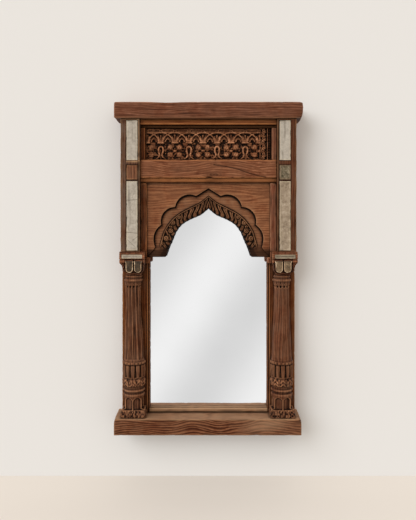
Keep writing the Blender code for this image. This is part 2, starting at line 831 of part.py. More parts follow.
leaf_count = 13
leaf_lean = 24
leaf_length_share = 0.12
leaf_width_share = 0.044
leaf_start_share = 0.8
leaf_end_share = 0.6
arch_cusp_shares = ((0.0, 0.934), (0.203, 0.828), (0.546, 0.679), (0.773, 0.437), (0.865, 0.134))
arch_lobe_rise_shares = (0.0, 0.1, 0.092, 0.075)
recess_foot_shares = ((0.865, 0.134), (0.93, 0.082), (0.97, 0.045))
band_line_shares = ((0.0, 0.822), (0.075, 0.772), (0.15, 0.727), (0.32, 0.655), (0.48, 0.583),
                    (0.61, 0.487), (0.718, 0.355), (0.763, 0.236), (0.807, 0.125))
opening_shares = ((0.0, opening_apex_share), (0.06, 0.62), (0.14, 0.57), (0.32, 0.504), (0.45, 0.435),
                  (0.54, 0.338), (0.575, 0.272), (0.61, 0.2), (0.66, 0.11), (0.705, 0.02))


def panel_point(across_share, up_share):
    return (panel_half * across_share, spring_level + (panel_top - spring_level) * up_share)


def half_opening(steps):
    return smooth([panel_point(*share) for share in opening_shares], steps)


def half_band_line(steps):
    return smooth([panel_point(*share) for share in band_line_shares], steps)


def half_recess():
    # The cusped edge of the recess, from the apex down to the foot of the band
    cusps = [panel_point(*share) for share in arch_cusp_shares]
    points = [cusps[0]]
    for k in range(1, len(cusps) - 1):
        rise = panel_half * arch_lobe_rise_shares[k]
        points += bulge(cusps[k], cusps[k + 1], rise, 7)
    return points + [panel_point(*share) for share in recess_foot_shares]


def along(line, share):
    # The point at a share of a drawn line's length
    points = [Vector(point) for point in line]
    lengths = [(b - a).length for a, b in zip(points, points[1:])]
    left = sum(lengths) * share
    for a, b, length in zip(points, points[1:], lengths):
        if left <= length:
            return a + (b - a) * (left / length)
        left -= length
    return points[-1]


def leaf_shape(side, share):
    # One slanting leaf of the band, a flattened bead laid along its line
    root = along(half_band_line(3), share)
    tip = along(half_opening(3), share)
    middle = (root + tip) / 2
    lean = (root - tip).normalized()
    angle = math.atan2(lean.y, lean.x) + math.radians(leaf_lean)
    shape = bmesh.new()
    bmesh.ops.create_icosphere(shape, subdivisions=1, radius=1)
    half_length = panel_half * leaf_length_share / 2
    half_thickness = panel_half * leaf_width_share / 2
    size = Matrix.Diagonal((half_length, leaf_height, half_thickness, 1))
    turn = Matrix.Rotation(-angle, 4, "Y")
    place = Matrix.Translation((middle.x, -panel_front, middle.y))
    flip = Matrix.Diagonal((side, 1, 1, 1))
    bmesh.ops.transform(shape, matrix=flip @ place @ turn @ size, verts=shape.verts[:])
    return shape


def make_arch_panel():
    panel = block("arch_panel", dusty_teak, -panel_half + seat, panel_half - seat,
                  stile_front + seat, panel_front, spring_level, panel_top - seat)
    low = spring_level - overrun
    opening = half_opening(3)
    opening.append((opening[-1][0], low))
    cut(panel, front_plate("opening", None, [mirrored(opening)], stile_front - overrun,
                           panel_front + overrun))
    recess = half_recess()
    band = half_band_line(3)
    for side, word in ((-1, "left"), (1, "right")):
        outline = [(side * x, z) for x, z in recess + band[:0:-1]]
        outline.append((0, band[0][1]))
        cut(panel, front_plate(word + " recess", None, [outline], panel_front - recess_depth,
                               panel_front + overrun))
    leaves = []
    for side in (-1, 1):
        for k in range(leaf_count):
            leaves.append(leaf_shape(side, (k + leaf_start_share) / (leaf_count + leaf_end_share)))
    join(panel, gathered("leaves", leaves))


# Mirror glass, its backing board and the rails that hold them

def make_mirror():
    glass_back = rebate_front - seat - glass_thickness
    half = glass_half
    block("mirror_glass", silvered_glass, -half, half, glass_back, glass_back + glass_thickness,
          glass_bottom, glass_top)
    board_back = glass_back - seat - board_thickness
    block("backing_board", fibre_board, -half, half, board_back, board_back + board_thickness,
          glass_bottom, glass_top)
    left = -stile_inner + seat
    right = stile_inner - seat
    foot = sill_height + seat
    head = sill_height + bottom_rail_height
    ledge = glass_bottom - seat
    moulding("bottom_rail", dusty_teak,
             [(stile_off_wall, foot), (stile_front, foot), (stile_front, head), (rebate_front, head),
              (rebate_front, ledge), (stile_off_wall, ledge)], left, right)
    ledge = glass_top + seat
    foot = glass_top - back_rail_lap
    head = foot + back_rail_height
    moulding("back_rail", dark_teak,
             [(rebate_front, foot), (stile_front, foot), (stile_front, head), (stile_off_wall, head),
              (stile_off_wall, ledge), (rebate_front, ledge)], left, right)


# Hanging straps with their rings, screwed to the backs of the stiles

def strap_screw_levels():
    return (ring_axis_level - upper_screw_drop, ring_axis_level - lower_screw_drop)


def make_straps():
    back = stile_off_wall - seat
    face = back - strap_thickness
    rolled = eye_radius + strap_thickness
    meeting = 360 - math.degrees(math.acos(eye_radius / rolled))
    foot = ring_axis_level - strap_length
    for side, word in ((-1, "left"), (1, "right")):
        x = side * column_axis
        outer = arc(ring_axis_depth, ring_axis_level, rolled, 0, meeting, 14)
        outline = outer + [(face, foot), (back, foot)]
        eye = arc(ring_axis_depth, ring_axis_level, eye_radius, 0, 360, 14)[:-1]
        shape = outline_shape([[(-depth, z) for depth, z in line] for line in (outline, eye)],
                              strap_width)
        turn = Matrix(((0, 0, 1, x - strap_width / 2), (1, 0, 0, 0), (0, 1, 0, 0), (0, 0, 0, 1)))
        bmesh.ops.transform(shape, matrix=turn, verts=shape.verts[:])
        strap = piece_from_bmesh(word + "_strap", shape, plated_steel)
        for level, place in zip(strap_screw_levels(), ("upper", "lower")):
            head = screw_head_radius + screw_play
            shank = screw_shank_radius + screw_play
            sink = [(0, back + overrun), (shank, back + overrun), (shank, back - screw_play / 2),
                    (head, face), (head, face - overrun), (0, face - overrun)]
            cut(strap, turned(word + place + " countersink", None, sink, 14, x, level))
            profile = [(0, back + screw_length), (screw_shank_radius, back + screw_length),
                       (screw_shank_radius, back - screw_play / 2),
                       (screw_head_radius, face + screw_play / 2), (0, face + screw_play / 2)]
            turned(word + "_strap_" + place + "_screw", plated_steel, profile, 14, x,
                   level).data.shade_smooth()


def make_rings():
    # Each ring hangs from its straight bar, and its origin is on the bar's axis
    for side, word in ((-1, "left"), (1, "right")):
        wire = bpy.data.curves.new(word + " ring wire", "CURVE")
        wire.dimensions = "3D"
        wire.bevel_depth = ring_wire_radius
        wire.bevel_resolution = 2
        half = ring_half_width
        corner = 2 * ring_wire_radius
        route = [(-half + corner, 0), (half - corner, 0)]
        route += arc(half - corner, -corner, corner, ring_corner_turn, 0, 2)
        route += arc(0, -(ring_length - half), half, 0, -180, 10)
        route += arc(-half + corner, -corner, corner, 180, 180 - ring_corner_turn, 2)
        spline = wire.splines.new("POLY")
        spline.points.add(len(route) - 1)
        for point, place in zip(spline.points, route):
            point.co = (place[0], 0, place[1], 1)
        spline.use_cyclic_u = True
        ring = bpy.data.objects.new(word + "_ring", wire)
        parts.objects.link(ring)
        wire.materials.append(plated_steel)
        ring.parent = mirror_frame
        ring.location = (side * column_axis, -ring_axis_depth, ring_axis_level)


# Turn buttons that hold the backing board

def button_levels():
    return [glass_bottom + (glass_top - glass_bottom) * share for share in button_height_shares]


def make_turn_buttons():
    front = stile_off_wall - seat
    back = front - button_thickness
    for side, word in ((-1, "left"), (1, "right")):
        for level, place in zip(button_levels(), ("lower", "upper")):
            x = side * button_axis
            radius = button_width / 2
            reach = button_length / 2 - radius
            outer = arc(reach, 0, radius, -90, 90, 8) + arc(-reach, 0, radius, 90, 270, 8)
            hole = arc(0, 0, screw_shank_radius + screw_play, 0, 360, 12)[:-1]
            shape = outline_shape([outer, hole], button_thickness)
            bmesh.ops.transform(shape, matrix=facing_front(0), verts=shape.verts[:])
            button = piece_from_bmesh(word + "_" + place + "_button", shape, turned_brass)
            button.location = (x, -back, level)
            head = button_head_radius
            top = back - seat
            profile = [(0, front + screw_length), (screw_shank_radius, front + screw_length),
                       (screw_shank_radius, top), (head, top), (head, top - button_head_height / 2),
                       (head / 2, top - button_head_height), (0, top - button_head_height)]
            turned(word + "_" + place + "_button_screw", turned_brass, profile, 14, x,
                   level).data.shade_smooth()


make_beam_and_sill()
make_stiles()
make_posts()
make_capitals()
make_columns()
make_imposts_and_inner_stiles()
make_mouldings()
make_frieze()
make_arch_panel()
make_mirror()
make_straps()
make_rings()
make_turn_buttons()
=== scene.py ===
# Wall mirror in an old carved teak window frame: the finish of every piece, and a plain studio.
# Lengths are in metres, in the frame of the solids: X to the right, Y into the wall, Z up.
import math

import bpy
import numpy as np
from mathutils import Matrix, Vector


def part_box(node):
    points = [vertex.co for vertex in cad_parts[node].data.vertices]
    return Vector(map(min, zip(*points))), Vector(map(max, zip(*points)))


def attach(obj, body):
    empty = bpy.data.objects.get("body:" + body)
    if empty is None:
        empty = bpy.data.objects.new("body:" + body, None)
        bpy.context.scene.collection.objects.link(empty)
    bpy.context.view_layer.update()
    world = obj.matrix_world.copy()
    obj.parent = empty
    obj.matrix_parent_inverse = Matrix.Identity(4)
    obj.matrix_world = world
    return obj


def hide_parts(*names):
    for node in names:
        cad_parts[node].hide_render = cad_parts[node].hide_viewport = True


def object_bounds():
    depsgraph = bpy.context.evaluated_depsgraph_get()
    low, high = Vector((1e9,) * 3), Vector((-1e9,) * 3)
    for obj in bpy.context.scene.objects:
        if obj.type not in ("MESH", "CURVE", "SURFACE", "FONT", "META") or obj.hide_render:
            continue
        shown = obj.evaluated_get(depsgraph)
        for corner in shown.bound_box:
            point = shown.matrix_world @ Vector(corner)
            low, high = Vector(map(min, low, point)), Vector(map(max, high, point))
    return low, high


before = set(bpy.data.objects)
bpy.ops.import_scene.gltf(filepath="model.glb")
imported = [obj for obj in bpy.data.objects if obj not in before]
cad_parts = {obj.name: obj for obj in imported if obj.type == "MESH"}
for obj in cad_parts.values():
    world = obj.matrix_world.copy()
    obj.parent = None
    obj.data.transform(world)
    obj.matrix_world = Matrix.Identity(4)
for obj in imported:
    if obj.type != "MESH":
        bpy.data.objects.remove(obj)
cad_bounds = [list(corner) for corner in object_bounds()]

# Stiles: two upright planks of old teak, 34 mm thick, tenoned between the beam and the sill.
# They were hand-planed long ago; their edges are nibbled and their pores are full of dirt.

MM = 0.001


def linear(hex_text):
    # An sRGB hex colour as the linear colour that a shader takes
    shares = [int(hex_text[k:k + 2], 16) / 255 for k in (1, 3, 5)]
    return [c / 12.92 if c <= 0.04045 else ((c + 0.055) / 1.055) ** 2.4 for c in shares] + [1.0]


def add(tree, kind, links=None, out=0, stops=(), **settings):
    # Adds one node and returns one of its outputs. Links give an input its value, its hex colour
    # or the socket that feeds it, and stops are the places and hex colours of a colour ramp.
    node = tree.nodes.new("ShaderNode" + kind)
    for key, value in settings.items():
        setattr(node, key, value)
    for key, value in (links or {}).items():
        if isinstance(value, bpy.types.NodeSocket):
            tree.links.new(value, node.inputs[key])
        elif isinstance(value, str):
            node.inputs[key].default_value = linear(value)
        else:
            node.inputs[key].default_value = value
    for k, (place, tone) in enumerate(stops):
        ramp = node.color_ramp.elements
        stop = ramp[k] if k < 2 else ramp.new(place)
        stop.position = place
        stop.color = linear(tone)
    return node.outputs[out]


def new_finish(name, roughness, metallic=0.0):
    # A material with its shader, and the coordinates that every pattern is drawn in
    finish = bpy.data.materials.new(name)
    finish.use_nodes = True
    tree = finish.node_tree
    shader = tree.nodes["Principled BSDF"]
    shader.inputs["Roughness"].default_value = roughness
    shader.inputs["Metallic"].default_value = metallic
    place = add(tree, "TexCoord", out="Object")
    return finish, tree, shader, place


def teak(name, grain, tones, pith=(0.0, 0.05, 0.09), patina="#5A4436", patina_share=0.5,
         figure=0.18, wave=0.02):
    # Old teak: an oily red-brown hardwood with long wandering grain, dull where hands never touch.
    # Streaks are 7 mm wide and 90 mm long, and the dark grain lines 1 mm wide. The pores are drawn
    # 0.9 mm wide, coarser than real ones, so that they show. The four tones are the dark streaks,
    # the wood, its light streaks, and its rubbed marks and painted highlights.
    finish, tree, shader, place = new_finish(name, 0.68)
    drift = add(tree, "TexNoise", {"Vector": place, "Scale": 5, "Detail": 0.5}, out="Color")
    bent = add(tree, "VectorMath", {0: drift, 1: (wave, wave, wave), 2: place},
               operation="MULTIPLY_ADD")
    along = {"x": (0.075, 1, 1), "z": (1, 1, 0.075)}[grain]
    lie = add(tree, "Mapping", {"Vector": bent, "Location": pith, "Scale": along})
    streaks = add(tree, "TexNoise", {"Vector": lie, "Scale": 150, "Detail": 9, "Roughness": 0.72},
                  out="Fac")
    rings = add(tree, "TexWave", {"Vector": lie, "Scale": 34, "Distortion": 7, "Detail": 3,
                                  "Detail Scale": 1.6}, out="Fac", wave_type="RINGS",
                rings_direction=grain.upper())
    tone = add(tree, "MixRGB", {"Fac": figure, "Color1": streaks, "Color2": rings})
    wood = add(tree, "ValToRGB", {"Fac": tone}, stops=((0.29, tones[0]), (0.71, tones[2]),
                                                       (0.5, tones[1])))
    bands = add(tree, "TexNoise", {"Vector": lie, "Scale": 52, "Detail": 3}, out="Fac")
    off_line = add(tree, "Math", {0: bands, 1: 0.5}, operation="SUBTRACT")
    off_line = add(tree, "Math", {0: off_line}, operation="ABSOLUTE")
    lines = add(tree, "MapRange", {"Value": off_line, "From Min": 0.014, "From Max": 0.0,
                                   "To Max": 0.4})
    wood = add(tree, "MixRGB", {"Fac": lines, "Color1": wood, "Color2": tones[0]})
    patches = add(tree, "TexNoise", {"Vector": bent, "Scale": 17, "Detail": 7, "Roughness": 0.6},
                  out="Fac")
    aged = add(tree, "MapRange", {"Value": patches, "From Min": 0.45, "From Max": 0.68,
                                  "To Max": patina_share})
    wood = add(tree, "MixRGB", {"Fac": aged, "Color1": wood, "Color2": patina})
    ruddy = add(tree, "MapRange", {"Value": patches, "From Min": 0.5, "From Max": 0.3,
                                   "To Max": 0.55})
    wood = add(tree, "MixRGB", {"Fac": ruddy, "Color1": wood, "Color2": "#B88A72"},
               blend_type="MULTIPLY")
    pores = add(tree, "TexNoise", {"Vector": lie, "Scale": 1100, "Detail": 2}, out="Fac")
    pits = add(tree, "MapRange", {"Value": pores, "From Min": 0.44, "From Max": 0.3, "To Max": 0.4})
    wood = add(tree, "MixRGB", {"Fac": pits, "Color1": wood, "Color2": tones[0]})
    # Dust; rubbed marks and painted highlights; dirt and painted shade, in near-black
    for wear_and_light, colour in (("dust", "#A27D5F"), ("rubbed", tones[3]), ("grime", "#150A05")):
        share = add(tree, "Attribute", out="Fac", attribute_name=wear_and_light)
        wood = add(tree, "MixRGB", {"Fac": share, "Color1": wood, "Color2": colour})
    tree.links.new(wood, shader.inputs["Base Color"])
    shine = add(tree, "MapRange", {"Value": streaks, "From Min": 1.2, "From Max": -0.5,
                                   "To Min": 0.4, "To Max": 1.0})
    tree.links.new(shine, shader.inputs["Roughness"])
    shader.inputs["Specular IOR Level"].default_value = 0.06
    relief = add(tree, "MixRGB", {"Fac": 0.3, "Color1": streaks, "Color2": pores})
    bump = add(tree, "Bump", {"Height": relief, "Strength": 0.6, "Distance": 0.9 * MM})
    tree.links.new(bump, shader.inputs["Normal"])
    return finish


def between_cells(grid, low, part):
    # A grid's value at each point, from the eight cells round it; the grid repeats past its end
    value = np.zeros(part.shape[:-1])
    for corner in range(8):
        step = np.array([corner & 1, corner >> 1 & 1, corner >> 2 & 1])
        weight = np.prod(np.where(step, part, 1 - part), axis=-1)
        value += weight * grid[tuple(np.moveaxis((low + step) % grid.shape, -1, 0))]
    return value


def cloud(points, cell, seed):
    # Smooth noise from 0 to 1 at each point; the cell is the size of its lumps. The corner of the
    # noise's table lies so far off that no place in it is below zero.
    cells_before_repeat, cells_to_corner = 24, 400.0
    table = np.random.default_rng(seed).random((cells_before_repeat,) * 3)
    place = points / np.asarray(cell) + cells_to_corner
    low = np.floor(place).astype(int)
    part = place - low
    return between_cells(table, low, part * part * (3 - 2 * part))


def placed(name, data):
    # A mesh, lamp or camera as an object of the scene
    thing = bpy.data.objects.new(name, data)
    bpy.context.scene.collection.objects.link(thing)
    return thing


def piece_from_grid(name, points, faces, finish, slot, nodes=(), **marks):
    # A shown piece from its points and faces, riding on the frame, with its wear as attributes
    mesh = bpy.data.meshes.new(name)
    mesh.from_pydata(np.reshape(points, (-1, 3)).tolist(), [],
                     [list(map(int, face)) for face in faces])
    mesh.polygons.foreach_set("use_smooth", [True] * len(mesh.polygons))
    for label, values in marks.items():
        layer = mesh.attributes.new(label, "FLOAT", "POINT")
        layer.data.foreach_set("value", np.clip(np.ravel(values), 0, 1).astype(np.float32))
    mesh.materials.append(finish)
    piece = placed(name, mesh)
    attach(piece, "mirror_frame")
    if nodes:
        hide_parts(*nodes)


def spaced(low, high, cell, edge, extra=()):
    # Grid lines from one face of a block to the other, close together at its edges
    near = edge * np.array([0, 0.3, 0.65, 1.0, 1.6])
    count = max(1, round((high - low - 2 * near[-1]) / cell))
    middle = np.linspace(low + near[-1], high - near[-1], count + 1)
    lines = np.concatenate([low + near, middle, high - near, np.asarray(extra, float)])
    lines = lines[(lines >= low) & (lines <= high)]
    return np.unique(np.round(lines, 6))


def box_grid(lines):
    # The surface of a block as a grid with the given lines along X, Y and Z
    counts = [len(line) for line in lines]
    faces = []
    for a in range(3):
        b, c = (a + 1) % 3, (a + 2) % 3
        across, up = np.meshgrid(np.arange(counts[b] - 1), np.arange(counts[c] - 1), indexing="ij")
        for end in (0, counts[a] - 1):
            corners = []
            for step_b, step_c in ((0, 0), (1, 0), (1, 1), (0, 1)):
                index = [None] * 3
                index[a] = np.full(across.shape, end)
                index[b] = across + step_b
                index[c] = up + step_c
                key = (index[0] * counts[1] + index[1]) * counts[2] + index[2]
                corners.append(key.ravel())
            face = np.stack(corners, 1)
            faces.append(face if end else face[:, ::-1])
    keys, faces = np.unique(np.concatenate(faces), return_inverse=True)
    i, rest = np.divmod(keys, counts[1] * counts[2])
    j, k = np.divmod(rest, counts[2])
    return np.stack([lines[0][i], lines[1][j], lines[2][k]], 1), faces.reshape(-1, 4)


def rebated(points, flat, edge_x, wall_x, edge_y, wall_y, foot, head):
    # Folds the corner of a block in to the two walls of a rebate that runs up it
    share_x = (flat[:, 0] - wall_x) / (edge_x - wall_x)
    share_y = (flat[:, 1] - wall_y) / (edge_y - wall_y)
    inside = (share_x > 0) & (share_y > 0) & (flat[:, 2] > foot) & (flat[:, 2] < head)
    folded = points.copy()
    folded[:, 0] = wall_x + (edge_x - wall_x) * np.clip(1 - share_y, 0, 1)
    folded[:, 1] = wall_y + (edge_y - wall_y) * np.clip(1 - share_x, 0, 1)
    return np.where(inside[:, None], folded, points)


def nearness(distance, width):
    # 1 at no distance, fading smoothly to next to nothing at twice the width
    return np.exp(-(distance / width) ** 2)


def spot(points, place, size):
    # The same round a place in space, with a width of its own each way
    return np.exp(-(((points - np.array(place)) / np.array(size)) ** 2).sum(1))


def worn_block(name, nodes, finish, slot, grain, cell, edge=3 * MM, dents=(), box=None,
               lines=((), (), ()), carve=None, dusty=0.0, faded=(), rebate=None, seed=1):
    # A sawn block whose edges are rubbed round and whose faces have raised grain and old knocks
    low, high = [np.array(corner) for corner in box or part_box(nodes[0])]
    grid = [spaced(low[a], high[a], cell, edge, lines[a]) for a in range(3)]
    points, faces = box_grid(grid)
    flat = points
    rim = edge * (0.45 + 0.55 * cloud(points, 45 * MM, seed))[:, None]
    heart = np.clip(points, low + rim, high - rim)
    out = points - heart
    out /= np.linalg.norm(out, axis=1, keepdims=True)
    to_edge = np.sort(np.minimum(points - low, high - points), axis=1)[:, 1]
    points = heart + out * rim
    stretch = np.array([12, 1, 1] if grain == "x" else [1, 1, 12])
    fibre = cloud(points, 3.5 * MM * stretch, seed + 1)
    swell = cloud(points, 70 * MM, seed + 2)
    nibble = np.clip(cloud(points, 14 * MM, seed + 3) - 0.62, 0, 1) * nearness(to_edge, 5 * MM)
    split = np.clip(cloud(points, 5 * MM * stretch * [1.5, 1, 1.5], seed + 4) - 0.8, 0, 1) * 5
    sunk = 0.35 * MM * fibre + 0.7 * MM * swell + 7 * MM * nibble + 0.5 * MM * split
    rubbed = nearness(to_edge, 4 * MM) * (0.15 + 0.65 * cloud(points, 30 * MM, seed + 5))
    grime = 0.6 * split + 0.8 * nibble
    for place, size, depth in dents:
        dent = spot(points, place, size)
        sunk += depth * dent
        grime += 0.35 * dent * min(1, depth / (1.5 * MM))
    # A carving darkens with dirt and painted shade where its marks are above zero, and lightens
    # with wear and painted light where they are below zero
    if carve:
        deep, dirt_and_painted_light = carve(points, out)
        sunk += deep
        grime += np.maximum(dirt_and_painted_light, 0)
        rubbed += np.maximum(-dirt_and_painted_light, 0)
    dust = dusty * np.clip(out[:, 2], 0, 1) ** 6 * (0.6 + 0.6 * cloud(points, 35 * MM, seed + 6))
    for place, size, share in faded:
        dust += share * spot(points, place, size) * (0.3 + fibre)
    points = points - out * sunk[:, None]
    if rebate:
        points = rebated(points, flat, *rebate)
    piece_from_grid(name, points, faces, finish, slot, nodes, grime=grime, rubbed=rubbed,
                    dust=dust)


stile_inner = abs(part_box("left_stile")[1].x)
stile_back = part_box("left_stile")[1].y
rebate_wall = stile_inner + 12.3 * MM
rebate_floor = stile_back - 10.9 * MM
glass_low, glass_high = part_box("mirror_glass")
strip_width, bead_place, quirk_place = 7.6 * MM, 9.4 * MM, 13 * MM


def beaded_edge(points, out):
    # A sunk strip, a thin bead and a quirk run down the front by the glass. The strip and the
    # quirk are painted dark as shade and dirt, and the bead is painted with a highlight.
    from_edge = np.abs(points[:, 0]) - stile_inner
    front = out[:, 1] < -0.5
    strip = np.clip((strip_width - from_edge) / (0.8 * MM), 0, 1)
    bead = nearness(from_edge - bead_place, 1.2 * MM)
    quirk = nearness(from_edge - quirk_place, 1.3 * MM)
    deep = (2.6 * strip + 1.4 * quirk) * MM
    return deep * front, (0.75 * strip + 0.6 * quirk - 0.9 * bead) * front


stile_teak = teak("dark_stile_teak", "z", ("#3E1C0C", "#6B3A1C", "#8C532C", "#B57A4C"),
                  pith=(0.03, 0.11, 0.0))
for word, seed in (("left", 11), ("right", 12)):
    out_way = -1 if word == "left" else 1
    bead_lines = [out_way * (stile_inner + step * MM) for step in
                  (1, 3, 5, 6.8, 7.6, 8.4, 9.4, 10.4, 11.5, 13, 14.5, 16)]
    glass_ends = [end + shift for end in (glass_low.z, glass_high.z) for shift in (-0.3 * MM, 0)]
    worn_block(word + "_stile_plank", [word + "_stile"], stile_teak, "old_teak", "z", 7 * MM,
               edge=2.5 * MM, seed=seed, carve=beaded_edge,
               lines=(bead_lines + [out_way * rebate_wall], [rebate_floor], glass_ends),
               rebate=(out_way * stile_inner, out_way * rebate_wall, stile_back, rebate_floor,
                       glass_low.z - 0.2 * MM, glass_high.z + 0.1 * MM))

# Top beam: one squared timber, 760 mm long and 65 mm high, with rounded edges and a dull top.
# Its upper edge has sunk a little left of the middle, and its right end is worn round.

beam_teak = teak("top_beam_teak", "x", ("#4A2819", "#6F442F", "#96634A", "#AA7858"),
                 pith=(0.3, 0.09, 0.11), patina="#523529", wave=0.03)
beam_low, beam_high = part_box("top_beam")
beam_front = beam_low.y


def ramped(value, start, end):
    # Goes smoothly from 0 at the start to 1 at the end, which may be the lower of the two
    share = np.clip((value - start) / (end - start), 0, 1)
    return share * share * (3 - 2 * share)


def painted_light_under_edge(points, out):
    # The front of the beam's underside is painted lighter, as a highlight in its shade
    near_front = ramped(beam_front + 26 * MM - points[:, 1], 0, 12 * MM)
    return np.zeros(len(points)), -0.9 * near_front * (out[:, 2] < -0.6)


worn_block("top_beam_timber", ["top_beam"], beam_teak, "old_teak", "x", 6 * MM, edge=7 * MM,
           seed=21, dusty=0.6, carve=painted_light_under_edge,
           dents=(((-0.162, beam_front, beam_high.z), (0.05, 0.05, 0.008), 2.5 * MM),
                  ((beam_high.x, beam_front, beam_low.z), (0.02, 0.05, 0.02), 5 * MM),
                  ((beam_high.x, beam_front, beam_high.z), (0.012, 0.05, 0.012), 3 * MM),
                  ((0.02, beam_front, beam_low.z + 0.03), (0.012, 0.01, 0.006), 2 * MM),
                  ((-0.28, beam_front, beam_low.z + 0.04), (0.05, 0.01, 0.002), 2 * MM),
                  ((0.24, beam_front, beam_low.z + 0.02), (0.05, 0.01, 0.0025), 2 * MM),
                  ((0.09, beam_front, beam_low.z), (0.03, 0.01, 0.005), 2 * MM)))

# Sill: the matching timber at the foot. Its top is bleached and dusty, its front has the wavy
# figure of a flat-sawn board, a knot near the left end and a pale rubbed patch near the right.

sill_teak = teak("sill_teak", "x", ("#3E1E0F", "#643B26", "#8A5A3D", "#B08A66"),
                 pith=(0.1, 0.02, 0.055), patina="#7A5640", patina_share=0.35, figure=0.42,
                 wave=0.08)
sill_low, sill_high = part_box("sill")
sill_front = sill_low.y
worn_block("sill_timber", ["sill"], sill_teak, "old_teak", "x", 6 * MM, edge=4.5 * MM, seed=31,
           dusty=0.75,
           faded=(((0.255, sill_front, sill_low.z + 0.045), (0.06, 0.02, 0.02), 0.75),
                  ((0.2, sill_front, sill_low.z + 0.03), (0.05, 0.02, 0.03), 0.35)),
           dents=(((-0.3, sill_front, sill_low.z + 0.03), (0.012, 0.02, 0.006), 1.5 * MM),
                  ((sill_high.x, sill_front, sill_high.z), (0.008, 0.05, 0.01), 3 * MM),
                  ((sill_low.x, sill_front, sill_high.z), (0.008, 0.05, 0.01), 3 * MM),
                  ((0.12, sill_front, sill_high.z), (0.06, 0.012, 0.004), 1.5 * MM)))

# Posts: two planks of teak set on the stiles above the capitals, 64 mm deep and 79 mm wide.
# Each front has three shallow pockets, cut with a chisel, for strips of old glass.

post_teaks = {
    "left": teak("greyed_post_teak", "z", ("#36211A", "#5E412F", "#7A5742", "#B89068"),
                 pith=(0.05, 0.06, 0.0), patina="#6A584B", patina_share=0.6),
    "right": teak("red_post_teak", "z", ("#341B10", "#5D3622", "#7A4D34", "#A97E58"),
                  pith=(0.01, 0.06, 0.0), patina="#553B2C", patina_share=0.45)}
inset_names = ("upper_strip", "square_panel", "lower_strip")
pocket_play = 0.3 * MM
pocket_wall = 0.3 * MM
# Knocks along each outer edge: share of its height, length in metres, depth in millimetres
knock_shares = ((0.04, 0.02, 3.0), (0.17, 0.03, 1.8), (0.36, 0.05, 2.4), (0.58, 0.02, 2.8),
                (0.74, 0.04, 1.6), (0.9, 0.03, 2.6))
for word, seed in (("left", 41), ("right", 42)):
    pockets = [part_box(word + "_" + name) for name in inset_names]
    pocket_lines = ([], [], [])
    for low, high in pockets:
        for axis in (0, 2):
            for wall in (low[axis] - pocket_play, high[axis] + pocket_play):
                pocket_lines[axis].extend((wall - pocket_wall, wall + pocket_wall))
    pocket_floor = pockets[0][1].y + pocket_play

    def pocket_depth(points, out):
        # The pockets' depth, the dirt round their rims, painted shade on the margin beside them,
        # and on the left post the bare wood round its upper pocket
        deep = np.zeros(len(points))
        dirt_and_painted_light = np.zeros(len(points))
        front = out[:, 1] < -0.5
        for low, high in pockets:
            away_x = np.maximum(low.x - points[:, 0], points[:, 0] - high.x)
            away_z = np.maximum(low.z - points[:, 2], points[:, 2] - high.z)
            away = np.maximum(away_x, away_z) - pocket_play
            deep = np.where(front & (away < 0), pocket_floor - points[:, 1], deep)
            dirt_and_painted_light += np.where(front, nearness(away, 2.2 * MM) * 0.8, 0)
        shaded_margin = front & (np.abs(points[:, 0]) < min(abs(low.x), abs(high.x)) - pocket_play)
        dirt_and_painted_light += shaded_margin * (0.2 + 0.5 * cloud(points, 18 * MM, 46))
        if word == "left":
            low, high = pockets[0]
            beside = np.where(points[:, 2] > low.z - 4 * MM, points[:, 0] - high.x - 2.6 * MM, 1)
            below = np.where(points[:, 0] > low.x, points[:, 2] - low.z + 2.6 * MM, 1)
            bare = nearness(beside, 2.4 * MM) + nearness(below, 2 * MM)
            dirt_and_painted_light -= 2.4 * np.clip(bare, 0, 1) * front * (0.4 + 0.6 * cloud(points, 12 * MM, 45))
        return deep, dirt_and_painted_light

    post_low, post_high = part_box(word + "_post")
    outer = post_low.x if word == "left" else post_high.x
    knocks = [((outer, post_low.y, post_low.z + share * (post_high.z - post_low.z)),
               (0.007, 0.02, length), depth * MM) for share, length, depth in knock_shares]
    worn_block(word + "_post_plank", [word + "_post"], post_teaks[word], "old_teak", "z", 6 * MM,
               seed=seed, edge=2.5 * MM, lines=pocket_lines, carve=pocket_depth, dents=knocks)

# Insets of the posts: sheets of old mirror glass 3 mm thick, whose silver has turned grey-beige.
# They are mottled, their chipped edges are chalky, and the left square is a block of teak.


def old_glass(name, tones, chalk, mottle, cracks):
    # Perished mirror glass: smooth and dull, with lumpy stains about 8 mm across and fine cracks.
    # The three tones are its dark stains, the glass and its palest patches.
    finish, tree, shader, place = new_finish(name, 0.38)
    stains = add(tree, "TexNoise", {"Vector": place, "Scale": 60, "Detail": 8, "Roughness": 0.72},
                 out="Fac")
    base = add(tree, "ValToRGB", {"Fac": stains}, stops=((0.34, tones[0]), (0.66, tones[2]),
                                                         (0.5, tones[1])))
    grit = add(tree, "TexNoise", {"Vector": place, "Scale": 420, "Detail": 3}, out="Fac")
    specks = add(tree, "MapRange", {"Value": grit, "From Min": 0.6, "From Max": 0.7,
                                    "To Max": mottle})
    base = add(tree, "MixRGB", {"Fac": specks, "Color1": base, "Color2": tones[0]})
    veins = add(tree, "TexVoronoi", {"Vector": place, "Scale": 24}, out="Distance",
                feature="DISTANCE_TO_EDGE")
    line = add(tree, "MapRange", {"Value": veins, "From Min": 0.018, "From Max": 0.004,
                                  "To Max": cracks})
    base = add(tree, "MixRGB", {"Fac": line, "Color1": base, "Color2": "#3B332B"})
    # Chalky chipped edges, and dirt with painted shade
    for wear_and_light, colour in (("rubbed", chalk), ("grime", "#4A3D30")):
        share = add(tree, "Attribute", out="Fac", attribute_name=wear_and_light)
        base = add(tree, "MixRGB", {"Fac": share, "Color1": base, "Color2": colour})
    tree.links.new(base, shader.inputs["Base Color"])
    shader.inputs["Specular IOR Level"].default_value = 0.2
    bump = add(tree, "Bump", {"Height": stains, "Strength": 0.4, "Distance": 0.6 * MM})
    tree.links.new(bump, shader.inputs["Normal"])
    return finish


